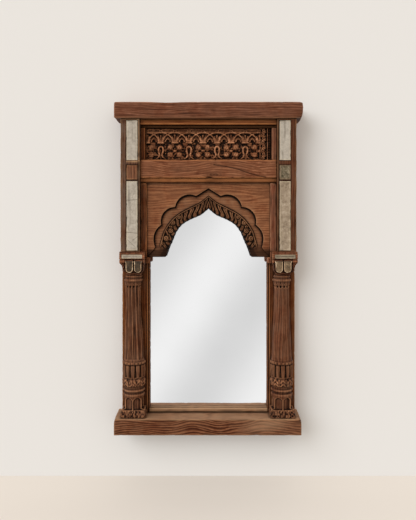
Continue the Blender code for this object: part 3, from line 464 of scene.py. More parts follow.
strip_glass = old_glass("perished_strip_glass", ("#9A9082", "#B0A596", "#BEB4A5"), "#D9C6A6", 0.35,
                        0.25)
square_glass = old_glass("perished_square_glass", ("#38301F", "#6A5D47", "#A3937A"), "#8A6A4C",
                         0.8, 0.7)
browned_glass = old_glass("browned_strip_glass", ("#7C6A55", "#9C8973", "#B5A38D"), "#D9C6A6", 0.4,
                          0.3)
block_teak = teak("square_block_teak", "z", ("#402416", "#7A5038", "#99684B", "#B2825C"))
break_low, break_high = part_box("left_lower_strip")


def old_breaks(points, out):
    # The left lower strip is in four bits: two level breaks and a slanting one near its foot
    across = (points[:, 0] - break_low.x) / (break_high.x - break_low.x)
    down = break_high.z - points[:, 2]
    length = break_high.z - break_low.z
    crack = np.zeros(len(points))
    for start, slope, first, last in ((0.277, -0.01, -1, 2), (0.736, 0.015, -1, 2),
                                      (0.83, 0.15, 0.1, 0.75), (0.92, -0.12, 0.55, 2)):
        from_line = down - length * (start + slope * across)
        here = (across > first) & (across < last) & (out[:, 1] < -0.5)
        crack = np.maximum(crack, nearness(from_line, 1.1 * MM) * here)
    return 0.7 * MM * crack, 0.75 * crack


inset_finishes = {("left", "square_panel"): (block_teak, "old_teak"),
                  ("right", "square_panel"): (square_glass, "grey_glass"),
                  ("right", "lower_strip"): (browned_glass, "aged_glass")}
for word, first_seed in (("left", 51), ("right", 54)):
    for seed, name in enumerate(inset_names, first_seed):
        finish, slot = inset_finishes.get((word, name), (strip_glass, "aged_glass"))
        worn_block(f"{word}_{name}_sheet", [f"{word}_{name}"], finish, slot, "z", 1.6 * MM,
                   edge=1.2 * MM, seed=seed,
                   carve=old_breaks if (word, name) == ("left", "lower_strip") else None)

# Inner stiles: thin fillets of dark teak, nailed to the stiles beside the frieze and the arch.
# They stand behind the posts and capitals, in shade; the left one's teak is painted darker as
# shade, and the right one's lighter as light.

fillet_teaks = {
    "left": teak("shaded_fillet_teak", "z", ("#38190B", "#60331A", "#80492A", "#A86C42"),
                 pith=(0.02, 0.04, 0.0)),
    "right": teak("lit_fillet_teak", "z", ("#482818", "#774631", "#986248", "#B4805E"),
                  pith=(0.06, 0.04, 0.0))}
for word, seed in (("left", 61), ("right", 64)):
    for shift, (place, name) in enumerate((("lower", "arch"), ("upper", "frieze"))):
        worn_block(f"{word}_{name}_fillet", [f"{word}_{place}_inner_stile"], fillet_teaks[word],
                   "dark_teak", "z", 5 * MM, edge=2.5 * MM, seed=seed + shift)

# Middle rail: a plank 74 mm high that stands 98 mm off the wall, with a rounded lower moulding.
# A long curved crack runs from its middle down to its lower edge on the right, and a chip is gone
# from that edge in the middle.

rail_teak = teak("middle_rail_teak", "x", ("#56301D", "#7F4F35", "#A97352", "#CC8450"),
                 pith=(0.05, 0.12, 0.04), patina="#5E3B29", wave=0.06)
rail_low, rail_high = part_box("mid_rail")
rail_moulding_height = 20 * MM
rail_foot = rail_low.z + rail_moulding_height
rail_back = rail_high.y
moulding_depth = 0.0397
moulding_front = rail_back - moulding_depth
# Where the crack runs: X in metres, and how far over the plank's middle as a share of its height
crack_line = ((0.02, 0.22), (0.077, 0.11), (0.12, -0.03), (0.169, -0.26), (0.2, -0.38),
              (0.234, -0.47))


def rail_crack(points, out):
    # How deep the crack is and the dirt in it, and the rings of a knot by the chip
    middle = (rail_foot + rail_high.z) / 2
    height = rail_high.z - rail_foot
    xs, shares = zip(*crack_line)
    line = middle + height * np.interp(points[:, 0], xs, shares)
    inside = (points[:, 0] > xs[0]) & (points[:, 0] < xs[-1]) & (out[:, 1] < -0.5)
    crack = np.where(inside, nearness(points[:, 2] - line, 1.9 * MM), 0)
    knot_x, knot_z, ring_pitch = 22 * MM, rail_foot + 13 * MM, 6.5 * MM
    swirl = np.hypot((points[:, 0] - knot_x) / 2.2, points[:, 2] - knot_z)
    rings = nearness(swirl, 13 * MM) * (out[:, 1] < -0.5)
    rings *= 0.5 + 0.5 * np.cos(swirl * 2 * math.pi / ring_pitch)
    return 2.6 * MM * crack + 0.8 * MM * rings, crack + 0.5 * rings


worn_block("middle_rail_plank", ["mid_rail"], rail_teak, "old_teak", "x", 2.5 * MM, edge=3.5 * MM,
           box=((rail_low.x, rail_low.y, rail_foot), tuple(rail_high)), carve=rail_crack, seed=71,
           dents=(((0.004, rail_low.y, rail_foot), (0.012, 0.01, 0.006), 5 * MM),
                  ((-0.03, rail_low.y, rail_foot + 0.027), (0.028, 0.01, 0.0022), 2.5 * MM),
                  ((-0.05, rail_low.y, rail_foot + 0.018), (0.016, 0.01, 0.002), 2 * MM),
                  ((0.03, rail_low.y, rail_foot + 0.012), (0.03, 0.01, 0.002), 2.5 * MM),
                  ((-0.13, rail_low.y, rail_foot + 0.03), (0.04, 0.01, 0.003), 1.5 * MM),
                  ((-0.09, rail_low.y, rail_high.z), (0.03, 0.01, 0.004), 1.5 * MM)))


def quads(index):
    # The four-cornered faces between the rows of a grid of point numbers
    corners = index[:-1, :-1], index[:-1, 1:], index[1:, 1:], index[1:, :-1]
    return np.stack(corners, -1).reshape(-1, 4)


def loop_faces(rows, count):
    # Faces of a tube whose rows each run round it, with a flat face at each end
    index = np.arange(rows * count).reshape(rows, count)
    return [*quads(np.hstack([index, index[:, :1]])), index[0, ::-1], index[-1]]


def moulded(name, nodes, finish, slot, outline, left, right, cell, seed, dents=(), painted_light_above=0.0,
            shades=()):
    # A run of moulding along X with its section as Y and Z, rubbed and a little uneven. Its
    # concave bends are painted dark as shade, and its upper part lighter as light by a share.
    # Shades are bands of its height painted dark as shade, or below zero painted light.
    corners = np.array(outline)
    steps = [np.linspace(a, b, max(2, int(np.linalg.norm(b - a) / cell) + 1))[:-1]
             for a, b in zip(corners, np.roll(corners, -1, axis=0))]
    section = np.concatenate(steps)
    for _ in range(2):
        section = (np.roll(section, 1, 0) + 2 * section + np.roll(section, -1, 0)) / 4
    heart = section.mean(0)
    places = spaced(left, right, 4 * MM, 2 * MM)
    points = np.array([(x, y, z) for x in places for y, z in section])
    inward = np.array([(0, heart[0] - y, heart[1] - z) for y, z in section])
    inward /= np.linalg.norm(inward, axis=1, keepdims=True)
    inward = np.tile(inward, (len(places), 1))
    sunk = 0.9 * MM * cloud(points, (40 * MM, 4 * MM, 4 * MM), seed)
    sunk += 0.5 * MM * cloud(points, 20 * MM, seed + 1)
    grime = np.zeros(len(points))
    for place, size, depth in dents:
        dent = spot(points, place, size)
        sunk += depth * dent
        grime += 0.3 * dent
    points = points + inward * sunk[:, None]
    bend = np.linalg.norm(np.roll(section, 1, 0) + np.roll(section, -1, 0) - 2 * section, axis=1)
    turn = np.roll(section, -1, 0) - section
    before = section - np.roll(section, 1, 0)
    outer = np.sign(turn[:, 0] * before[:, 1] - turn[:, 1] * before[:, 0])
    mark = np.tile(bend * outer / (0.3 * MM), len(places))
    mark *= 0.4 + 0.6 * cloud(points, 18 * MM, seed + 2)
    level = (points[:, 2] - section[:, 1].min()) / np.ptp(section[:, 1])
    grime += np.clip(-mark, 0, 1)
    mark = np.clip(mark, 0, 1) + painted_light_above * level ** 1.5
    for low, high, share in shades:
        inside = (level > low) & (level < high)
        grime += max(share, 0) * inside
        mark += max(-share, 0) * inside
    piece_from_grid(name, points, loop_faces(len(places), len(section)), finish, slot, nodes,
                    rubbed=mark, grime=grime)


def from_shares(shares, back, front, foot, height):
    # A moulding's section as Y and Z, from shares of its depth and height
    return [(back + (front - back) * out, foot + height * up) for out, up in reversed(shares)]


rail_moulding_shares = ((1.0, 1.0), (1.0, 0.82), (0.97, 0.5), (0.88, 0.25), (0.76, 0.1),
                        (0.76, 0.0))
rail_outline = [(rail_back, rail_low.z),
                *from_shares(rail_moulding_shares, rail_back, moulding_front, rail_low.z,
                             rail_moulding_height), (rail_back, rail_foot)]
# The moulding's upper part is painted lighter as light from above, and its foot dark as shade
moulded("middle_rail_moulding", (), rail_teak, "old_teak", rail_outline, rail_low.x, rail_high.x,
        1.5 * MM, 75, painted_light_above=0.75, shades=((-1, 0.1, 0.85),),
        dents=(((0.005, moulding_front, rail_low.z), (0.02, 0.01, 0.008), 3 * MM),))

# Frieze moulding: a fillet, a hollow and a bead run along one strip of teak under the beam.
# Its teak is painted paler than the rest, as light against the beam's shadow, its upper part a
# little paler still, and the hollow and the bead below are painted dark as shade.

lit_cornice_teak = teak("lit_cornice_teak", "x", ("#5A2E16", "#8C502E", "#AE6C42", "#D28C54"),
                    pith=(0.0, 0.1, 0.02), patina_share=0.25)
cornice_low, cornice_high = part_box("frieze_moulding")
cornice_shares = ((0.0, 1.0), (1.0, 1.0), (1.0, 0.92), (0.985, 0.89), (1.0, 0.85), (1.0, 0.5),
                  (0.96, 0.4), (0.62, 0.36), (0.62, 0.26), (0.72, 0.22), (0.72, 0.05), (0.6, 0.0),
                  (0.0, 0.0))
cornice_outline = from_shares(cornice_shares, cornice_high.y, cornice_low.y, cornice_low.z,
                              cornice_high.z - cornice_low.z)
moulded("frieze_cornice", ["frieze_moulding"], lit_cornice_teak, "old_teak", cornice_outline,
        cornice_low.x, cornice_high.x, 1.2 * MM, 81, painted_light_above=0.15, shades=((-1, 0.37, 0.88),))

# Arch board: a flat teak board, cut out to a pointed arch and carved round the opening.
# A sunk border runs inside a cusped edge of three round lobes a side, and between it and the
# opening lies a band of slanting acanthus leaves, with curls down each flank and a smooth foot.


def arc_over(start, end, rise, steps):
    # Points on the arc over a chord, rising to its left, with the last point left out
    first, last = np.array(start), np.array(end)
    chord = last - first
    if rise == 0:
        return [tuple(first + chord * k / steps) for k in range(steps)]
    length = np.linalg.norm(chord)
    across = np.array([-chord[1], chord[0]]) / length
    radius = (length ** 2 / 4 + rise ** 2) / (2 * rise)
    centre = (first + last) / 2 + across * (rise - radius)
    begin = math.atan2(first[1] - centre[1], first[0] - centre[0])
    half_turn = math.asin(min(1.0, length / 2 / radius))
    turns = begin - 2 * half_turn * np.arange(steps) / steps
    return [tuple(centre + radius * np.array([math.cos(t), math.sin(t)])) for t in turns]


def blurred(values, rounds):
    # A grid of values smoothed by its neighbours, so that ridges and hollows can be told apart
    for _ in range(rounds):
        for axis in (0, 1):
            pad = [(1, 1) if axis == k else (0, 0) for k in (0, 1)]
            wide = np.pad(values, pad, mode="edge")
            if axis == 0:
                values = (wide[:-2] + 2 * values + wide[2:]) / 4
            else:
                values = (wide[:, :-2] + 2 * values + wide[:, 2:]) / 4
    return values


board_low, board_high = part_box("arch_panel")
board_half = board_high.x
spring = board_low.z
board_rise = board_high.z - spring
leaf_stand = 5 * MM
board_front = board_low.y + leaf_stand
board_thickness = board_high.y - board_front
recess_depth = 13 * MM
columns_in_arch = 780
# Outlines from the apex down, as shares of half the board's width and of its height: the opening,
# the ridge round the band of leaves, and the corners between the lobes. Then how far each lobe
# swells, as a share of half the width, and the outline of the edge's foot.
opening_shares = ((0.0, 0.662), (0.06, 0.62), (0.14, 0.57), (0.32, 0.504), (0.45, 0.435),
                  (0.54, 0.338), (0.575, 0.272), (0.61, 0.2), (0.66, 0.11), (0.705, 0.0))
band_line_shares = ((0.0, 0.822), (0.075, 0.772), (0.15, 0.727), (0.32, 0.655), (0.48, 0.583),
                    (0.61, 0.487), (0.718, 0.355), (0.763, 0.236), (0.8, 0.125), (0.81, 0.0))
cusp_shares = ((0.0, 0.934), (0.203, 0.828), (0.546, 0.679), (0.773, 0.437), (0.865, 0.134))
lobe_rise_shares = (0, 0.1, 0.092, 0.075)
cusp_foot_shares = ((0.865, 0.134), (0.9, 0.09), (0.95, 0.05), (1.0, 0.012))


def board_point(across_share, up_share):
    # A point of the board's face, from the middle of the springing
    return board_half * across_share, board_rise * up_share


def smooth_line(shares, steps=6):
    # A smooth curve through an outline's points, from the apex down
    guide = np.array([board_point(*share) for share in shares])
    guide = np.vstack([2 * guide[0] - guide[1], guide, 2 * guide[-1] - guide[-2]])
    line = []
    for before, start, end, after in zip(guide, guide[1:], guide[2:], guide[3:]):
        for t in np.arange(steps) / steps:
            curve = 2 * start + (end - before) * t
            curve = curve + (2 * before - 5 * start + 4 * end - after) * t * t
            line.append((curve + (3 * start - before - 3 * end + after) * t ** 3) / 2)
    return line + [guide[-2]]


def radius_at(line, turns):
    # The outline's distance from the middle of the springing, by its angle from straight up
    line = np.array(line)
    bearings = np.arctan2(line[:, 0], line[:, 1])
    return np.interp(np.abs(turns), bearings, np.hypot(line[:, 0], line[:, 1]))


corners = [board_point(*share) for share in cusp_shares]
cusp_line = []
for k, rise_share in enumerate(lobe_rise_shares):
    cusp_line += arc_over(corners[k], corners[k + 1], board_half * rise_share, 14)
cusp_line += [board_point(*share) for share in cusp_foot_shares]

turns = np.linspace(-math.pi / 2, math.pi / 2, columns_in_arch)
corner_turn = math.atan2(board_half, board_rise)
for turn in (-corner_turn, corner_turn):
    turns[np.argmin(np.abs(turns - turn))] = turn
rect = np.minimum(board_half / np.maximum(np.abs(np.sin(turns)), 1e-9),
                  board_rise / np.maximum(np.cos(turns), 1e-9))
cusp = np.minimum(radius_at(cusp_line, turns), rect - 2.6 * MM)
gap = radius_at(smooth_line(opening_shares), turns)
ridge = radius_at(smooth_line(band_line_shares), turns)
flare = ramped(np.degrees(np.abs(turns)), 73, 81)
middle = (ridge + gap) / 2
step = np.abs(np.gradient(turns)) * np.hypot(middle, np.gradient(middle) / np.gradient(turns))
run = np.cumsum(step)
run = np.abs(run - run[np.argmin(np.abs(turns))])

leaf_pitch = 22 * MM
leaf_lean = 0.4
leaf_relief = 8.5 * MM
# Curls down the flanks: distance from the springing's middle, degrees from upright, radius
curls = ((203, 36.5, 9.5), (202, 46, 12), (189, 55.4, 12), (189, 66, 12.5), (202, 74, 11))
leaf_luck = np.random.default_rng(5).random(64)


def leaf_depth(radius, turns, run, ridge, gap):
    # How far the carving lies below the board's face: leaning leaves, and curls down the flanks
    width = ridge - gap
    across = (ridge - radius) / width
    sway = 0.2 * np.sin(2 * np.pi * across) + 0.2 * np.sin(run / (23 * MM))
    phase = (run - leaf_lean * across * width) / leaf_pitch + sway
    number = np.floor(phase)
    part = phase - number
    luck = leaf_luck[(number + 20).astype(int) % 64]
    swell = np.sqrt(np.clip(1 - ((part - 0.5) / 0.4) ** 2, 0, 1))
    swell *= np.sqrt(np.clip(1 - ((across - 0.46 - 0.08 * luck) / 0.58) ** 2, 0, 1))
    vein = nearness(part - 0.42 - 0.12 * luck, 0.07) * ramped(across, 0.85, 0.5)
    barbs = np.abs(np.sin(9 * across + 5 * np.abs(part - 0.5) + 4 * luck))
    height = swell * (0.78 + 0.22 * luck) - 0.42 * vein - 0.16 * barbs * (luck > 0.3)
    depth = leaf_relief * (1 - np.clip(height, 0, 1))
    x, z = radius * np.sin(np.abs(turns)), radius * np.cos(turns)
    for far, at, size in curls:
        to_x = x - far * MM * math.sin(math.radians(at))
        to_z = z - far * MM * math.cos(math.radians(at))
        away = np.hypot(to_x, to_z) / (size * MM)
        coil = (away / 0.45 + (np.arctan2(to_z, to_x) + at) / (2 * math.pi)) % 1
        groove = nearness(coil - 0.5, 0.14) * (away < 0.86)
        height = np.sqrt(np.clip(1 - away ** 2, 0, 1)) * (1 - 0.75 * groove)
        depth = np.where(away < 1.16, leaf_relief * (1.02 - height), depth)
    return depth


def shoe_depth(radius):
    # The foot's smooth swelling between the opening and the cusped edge
    share = np.clip((radius - gap) / np.maximum(cusp - gap, 1e-6), 0, 1)
    return 7 * MM - 4.5 * MM * np.sin(np.pi * share) ** 0.8


def ring_faces(rows, count):
    # Faces of a ring whose first row follows its last, with a flat face at each end
    index = np.arange(rows * count).reshape(rows, count)
    return [*quads(np.vstack([index, index[:1]])), index[:, 0], index[::-1, -1]]


radii, depths = [], []


def row(radius, depth):
    # One row of points from foot to foot: how far out each lies and how deep
    radii.append(np.broadcast_to(radius, turns.shape).copy())
    depths.append(np.broadcast_to(depth, turns.shape).copy())


def rows_along(line, steps, depth=0):
    # Rows beside a line, each so many millimetres further out and so much deeper
    for outward, deeper in steps:
        row(line + outward * MM, depth + deeper * MM)


rows_along(rect, ((0, 1.6), (-0.5, 0.6), (-1.4, 0.1), (-2.2, 0)))
for t in np.linspace(0, 1, 26)[1:]:
    row((rect - 2.2 * MM) * (1 - t) + (cusp + 1.8 * MM) * t if t < 1 else
        np.minimum(cusp + 1.8 * MM, rect - 2.3 * MM), 0)
face_rows = len(radii)
rows_along(cusp, ((1.0, 0.2), (0.4, 0.8), (0, 1.9), (-0.4, 4.5), (-0.8, 8), (-1.3, 11),
                  (-2.2, 12.6)))
recess_outer, recess_inner = cusp - 2.2 * MM, ridge + 2.4 * MM
for t in np.linspace(0, 1, 24)[1:]:
    bowl = recess_depth - 0.4 * MM + 0.9 * MM * math.sin(math.pi * t)
    row(recess_outer * (1 - t) + recess_inner * t, bowl)
rows_along(ridge, ((1.4, 11.6), (0.8, 8.5), (0.2, 5), (-0.5, 2.6), (-1.3, 1.7), (-2.3, 1.7),
                   (-3.1, 3.0)))
band_outer, band_inner = ridge - 3.6 * MM, gap + 1.6 * MM
for t in np.linspace(0, 1, 46):
    radius = band_outer * (1 - t) + band_inner * t
    row(radius, leaf_depth(radius, turns, run, ridge, gap))
band_end = len(radii)
rows_along(gap, ((1.0, 0.4), (0.4, 1.2), (0, 2.6)), depths[-1])
front_rows = len(radii)
for share in (0.3, 0.5, 0.75, 1.0):
    row(gap, board_thickness * share)
for t in (0.33, 0.66, 1.0):
    row(gap * (1 - t) + rect * t, board_thickness)
for share in (0.7, 0.4, 0.15):
    row(rect, board_thickness * share)

radii, depths = np.array(radii), np.array(depths)
for k in range(face_rows, front_rows):
    depths[k] = depths[k] * (1 - flare) + np.maximum(shoe_depth(radii[k]), 0) * flare
scallop = 1.3 * MM * np.abs(np.sin(np.pi * (run - leaf_lean * (ridge - gap)) / leaf_pitch))
for k, share in zip(range(band_end - 2, front_rows + 4), (0.4, 0.8, 1, 1, 1, 1, 0.6, 0.3, 0.1)):
    radii[k] += (1.3 * MM - scallop) * share * (1 - flare)
relief = depths.copy()
hollow = relief - blurred(relief, 10)
wide_hollow = relief - blurred(relief, 60)
x = radii * np.sin(turns)
z = spring + radii * np.cos(turns)
points = np.stack([x, board_front + depths, z], -1)
on_front = relief < 0.9 * board_thickness
uneven = cloud(points, (90 * MM, 40 * MM, 14 * MM), 91) * 0.7 + cloud(points, 9 * MM, 92) * 0.3
points[..., 1] += np.where(on_front, 0.6 * MM * uneven, 0)
patchy = cloud(points, 16 * MM, 93)
# Raised edges are rubbed paler. The hollows, the deep carving, the gaps between the leaves, the
# foot and the edge of the opening are painted dark as shade and dirt.
rubbed = np.clip(-hollow / (1.2 * MM), 0, 1) * (0.3 + 0.7 * patchy) * (1 - 0.7 * flare)
grime = np.clip(hollow / (1.3 * MM), 0, 1) * 0.9 + np.clip(wide_hollow / (7 * MM), 0, 1) * 0.35
in_band = (radii < ridge - 3 * MM) & (relief < 1.4 * leaf_relief)
in_recess = (radii < cusp) & (radii > ridge + 0.2 * MM) & on_front
grime += 0.22 * ramped(relief, 2.5 * MM, 9 * MM) * ~in_recess + 0.68 * flare * (relief > 1.5 * MM)
grime += in_band * (0.1 + 0.8 * ramped(relief, 2.2 * MM, 6 * MM))
# A painted shadow under each cusp and painted shade along the ridge, on the recess's floor
out_of_cusp_shadow = np.clip((cusp - radii - 1.5 * MM) / (17 * MM), 0, 1)
out_of_ridge_shade = np.clip((radii - ridge) / (5 * MM), 0, 1)
grime += in_recess * (0.06 + (1 - out_of_cusp_shadow) ** 1.9 + 0.45 * (1 - out_of_ridge_shade)) * (1 - flare)
grime += 0.8 * (relief > 1.2 * leaf_relief) * (radii < gap + 1 * MM)
grime = grime * (1 - flare) + np.minimum(grime, 0.93) * flare
# Painted shade in the low outer corners beside the foot
low_corner_shade = ramped(z - spring, 44 * MM, 22 * MM)
low_corner_shade *= ramped(np.abs(x), 0.64 * board_half, 0.72 * board_half)
grime = np.maximum(grime, 0.84 * low_corner_shade * on_front)
dusted = in_recess * 0.3 * out_of_cusp_shadow * out_of_ridge_shade * patchy
arch_teak = teak("arch_board_teak", "x", ("#5E3622", "#865538", "#AA744E", "#CC9268"),
                 pith=(0.02, 0.05, 0.33), patina="#653F2A", patina_share=0.45, wave=0.03)
piece_from_grid("carved_arch_board", points, ring_faces(*radii.shape), arch_teak, "dusty_teak",
                ["arch_panel"], grime=grime, rubbed=rubbed, dust=dusted)

# Frieze: one teak panel, deeply carved with eight pointed arches of crossing round ribs.
# Fans stand between the arches; below them keyhole palmettes alternate with four-petal flowers.
# A row of long cartouches runs along the top, and a column of leaves and beads on the right.

frieze_low, frieze_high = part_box("frieze_panel")
frieze_relief = 11 * MM
frieze_cell = 1.05 * MM
frieze_half = frieze_high.x
frieze_height = frieze_high.z - frieze_low.z
arch_count = 8
pattern_left = -0.985 * frieze_half
pattern_right = 0.81 * frieze_half
pitch = (pattern_right - pattern_left) / arch_count
across = np.linspace(-frieze_half, frieze_half, round(2 * frieze_half / frieze_cell) + 1)
up = np.linspace(0, frieze_height, round(frieze_height / frieze_cell) + 1)
X, Z = np.meshgrid(across, up, indexing="ij")
carved = np.zeros(X.shape)


def on_face(across, up):
    # Points on a flat upright face
    return np.stack([across, across * 0, up], -1)


wobble = 1.1 * MM * (cloud(on_face(X, Z), 24 * MM, 101) - 0.5)
X = X + wobble
Z = Z + wobble[::-1]


def ridge_over(distance, half_width):
    # A rounded rib: 1 along its middle and 0 at its sides
    return np.sqrt(np.clip(1 - (distance / half_width) ** 2, 0, 1))


def raise_to(height, where=True):
    # Leaves the wood standing at least so high, as a share of the relief
    global carved
    carved = np.where(where, np.maximum(carved, height), carved)


def stroke(x0, z0, x1, z1, half_width, height, taper=1.0):
    # A rib along a straight line, thinner towards its end
    length = math.hypot(x1 - x0, z1 - z0)
    along_x, along_z = (x1 - x0) / length, (z1 - z0) / length
    way = np.clip(((X - x0) * along_x + (Z - z0) * along_z) / length, 0, 1)
    distance = np.hypot(X - x0 - way * (x1 - x0), Z - z0 - way * (z1 - z0))
    raise_to(height * ridge_over(distance, half_width * (1 - (1 - taper) * way)))


def twig(middle, side, start, end, half_width, height, taper=1.0):
    # A rib beside a middle line, with its places and width in millimetres
    stroke(middle + side * start[0] * MM, start[1] * MM, middle + side * end[0] * MM, end[1] * MM,
           half_width * MM, height, taper)


band_z = 72 * MM
rib = 2.9 * MM
in_pattern = (X > pattern_left - 2 * MM) & (X < pattern_right + 3 * MM)
for k in range(arch_count + 1):
    fan = pattern_left + pitch * k
    reach_x, reach_z = 0.873 * pitch, 41.5 * MM
    oval = np.hypot((X - fan) / reach_x, (Z - band_z) / reach_z)
    distance = np.abs(oval - 1) * (0.8 * reach_z)
    raise_to(0.95 * ridge_over(distance, rib), in_pattern & (Z > band_z - 2 * MM))
    for turn, length in ((0, 25), (-27, 22), (27, 22), (-54, 15), (54, 15)):
        swing = math.radians(turn)
        foot_x, foot_z = fan + 3 * MM * math.sin(swing), band_z + 4 * MM
        tip_x = fan + length * MM * math.sin(swing)
        tip_z = band_z + 5 * MM + length * MM * math.cos(swing)
        if pattern_left - MM < tip_x < pattern_right + MM:
            stroke(tip_x, tip_z, foot_x, foot_z, 4.2 * MM, 0.85, taper=0.4)
    stroke(max(fan - 12 * MM, pattern_left), band_z, min(fan + 12 * MM, pattern_right), band_z,
           4.2 * MM, 1.0)
for k in range(arch_count):
    middle_x = pattern_left + pitch * (k + 0.5)
    over = np.maximum(Z - band_z - 7 * MM, 0)
    under = np.minimum(Z - band_z - 7 * MM, 0)
    eye = 0.5 * np.hypot(X - middle_x, over) + 0.45 * (np.abs(X - middle_x) + over)
    eye = np.hypot(eye, under * 0.9)
    raise_to(0.92 * ridge_over(eye - 9.8 * MM, 3.6 * MM), Z > band_z + 2 * MM)
    raise_to(0.75 * ridge_over(eye - 15.5 * MM, 1.9 * MM), Z > band_z + 4 * MM)
for k in range(1, arch_count, 2):
    middle_x = pattern_left + pitch * k
    eye_z = 46 * MM
    ring = np.hypot((X - middle_x) * 1.1, np.where(Z > eye_z, Z - eye_z, (Z - eye_z) * 0.3))
    raise_to(ridge_over(ring - 10.2 * MM, 5.6 * MM), Z > 31 * MM)
    raise_to(0.5 * ridge_over(np.hypot(X - middle_x, (Z - eye_z + 6 * MM) * 0.4), 1.8 * MM))
    for side in (-1, 1):
        twig(middle_x, side, (8, 33), (4.5, 23), 4.8, 0.98)
        twig(middle_x, side, (4.5, 23), (9, 12), 4.6, 0.95)
        twig(middle_x, side, (9, 12), (20, 5), 4.4, 0.9, taper=0.5)
        twig(middle_x, side, (16, 60), (21, 40), 2.6, 0.55, taper=0.4)
    twig(middle_x, 0, (0, 20), (0, 5), 2.6, 0.6)
for k in range(0, arch_count + 1, 2):
    middle_x = pattern_left + pitch * k
    for side in (-1, 1):
        for petal_z, tilt in ((53 * MM, 1), (23 * MM, -1)):
            petal_x = middle_x + side * 19 * MM
            if not pattern_left < petal_x < pattern_right + MM:
                continue
            lean_x = (X - petal_x) * 0.94 + side * tilt * (Z - petal_z) * 0.34
            lean_z = (Z - petal_z) * 0.94 - side * tilt * (X - petal_x) * 0.34
            cup = np.hypot(lean_x / (13.2 * MM), lean_z / (14 * MM))
            petal = np.sqrt(np.clip(1 - cup ** 2, 0, 1))
            petal -= 0.25 * nearness(lean_x, 1.8 * MM) * (cup < 0.8) * (lean_z * tilt < 3 * MM)
            raise_to(0.93 * petal)
            stroke(petal_x - side * 8 * MM, petal_z - tilt * 8 * MM, middle_x + side * 4 * MM,
                   38 * MM + tilt * 2 * MM, 2.8 * MM, 0.7)
        if pattern_left < middle_x + side * 24 * MM < pattern_right:
            twig(middle_x, side, (22, 5), (3, 5), 3, 0.75)
            twig(middle_x, side, (3, 62), (9, 58), 2.4, 0.6)
    raise_to(0.9 * ridge_over(np.hypot(X - middle_x, Z - 38 * MM), 7.5 * MM), in_pattern)
cartouche = (X - pattern_left) % pitch - pitch / 2
shape = np.maximum(np.abs(cartouche) - 19 * MM, 0)
edge = np.hypot(shape, Z - 121.5 * MM) - 5.5 * MM
raise_to(0.85 * ridge_over(edge, 2.4 * MM), in_pattern)
raise_to(0.7 * ridge_over(np.hypot(cartouche * 0.35, Z - 122 * MM), 2.8 * MM), in_pattern)
raise_to(0.8 * ridge_over(np.hypot(np.abs(cartouche) - pitch / 2, Z - 121 * MM), 3.6 * MM),
         in_pattern)
raise_to(0.75 * ridge_over(Z - 113.5 * MM, 2.0 * MM), in_pattern)
raise_to(0.6 * ridge_over(Z - 1.5 * MM, 2.4 * MM), in_pattern)
border_x = (pattern_right + 0.94 * frieze_half) / 2
border_half = 0.94 * frieze_half - border_x
for k in range(8):
    knot_z = 9 * MM + k * 16.2 * MM
    shift = (1 if k % 2 else -1) * 2 * MM
    knot = np.hypot(X - border_x - shift, Z - knot_z)
    raise_to(0.95 * ridge_over(knot - 4.8 * MM, 2.9 * MM))
    raise_to(0.7 * ridge_over(knot, 2 * MM))
    for side in (-1, 1):
        stroke(border_x + side * 3 * MM - shift, knot_z + 7 * MM, border_x + side * 11.5 * MM,
               knot_z + 11 * MM, 3.4 * MM, 0.85, taper=0.5)
for side_x in (pattern_right + 3.5 * MM, border_x + border_half):
    raise_to(0.95 * ridge_over(X - side_x, 2.2 * MM))
raise_to(0.5 * ridge_over((Z % (7 * MM)) - 3.5 * MM, 1.8 * MM),
         (X > border_x + border_half + 4 * MM) & (X < frieze_half - 3 * MM))
raise_to(0.7 * ridge_over(X + frieze_half - 1.5 * MM, 2.0 * MM))
raise_to(0.42, in_pattern & (Z > 109 * MM))
for k in range(arch_count):
    eye = np.hypot(X - pattern_left - pitch * (k + 0.5), Z - band_z - 7 * MM)
    carved = np.where(eye < 5.2 * MM, np.minimum(carved, -0.25), carved)
leafage = cloud(on_face(X, Z), 5.5 * MM, 105)
carved = np.maximum(carved, (0.38 + 0.12 * (Z < band_z)) * ramped(leafage, 0.56, 0.72) * in_pattern)
chips = cloud(on_face(X, Z), 12 * MM, 103)
notches = cloud(on_face(X, Z), 4.5 * MM, 104)
carved = carved * (0.78 + 0.25 * chips) - 0.12 * notches - 0.25 * np.clip(chips - 0.75, 0, 1)
surface = blurred(carved, 1)
hollow = blurred(surface, 6) - surface
front = frieze_low.y + frieze_relief * (1 - np.clip(surface, 0, 1)) - 0.2 * MM
front = np.maximum(front, frieze_low.y)
X, Z = np.meshgrid(across, up, indexing="ij")
points = np.stack([X, front, frieze_low.z + Z], -1).reshape(-1, 3)
index = np.arange(X.size).reshape(X.shape)
rim = np.concatenate([index[:, 0], index[-1, 1:], index[-2::-1, -1], index[0, -2:0:-1]])
back = points[rim]
back[:, 1] = frieze_high.y
first_back = len(points)
around = np.arange(len(rim))
after = (around + 1) % len(rim)
sides = np.stack([rim, first_back + around, first_back + after, rim[after]], -1)
points = np.concatenate([points, back])
faces = [*quads(index.T), *sides, (first_back + around)[::-1]]
tail = np.zeros(len(rim))
# The high carving is rubbed paler and painted lighter as a highlight, and the hollows and the deep
# ground are painted dark as shade and dirt.
rubbed = ramped(surface, 0.5, 0.95) * (0.35 + 0.65 * chips) * (1 - 0.5 * notches)
grime = np.clip(hollow * 3, 0, 1) + ramped(surface, 0.5, 0.05) * 0.85
frieze_teak = teak("frieze_teak", "x", ("#3F2111", "#784A30", "#9E6A45", "#DA9A70"),
                   pith=(0.0, 0.03, 0.05), patina_share=0.3)
piece_from_grid("carved_frieze", points, faces, frieze_teak, "dark_teak", ["frieze_panel"],
                grime=np.append(grime, tail), rubbed=np.append(rubbed, tail))

# Columns: each one turned from a teak post, then fluted and carved, with its back sawn flat.
# From the foot: a block with scrolls, four round-headed niches, rings, a band of leaves, a ring
# of gadroons, and a tapered shaft with twelve flutes that end under a drilled neck.

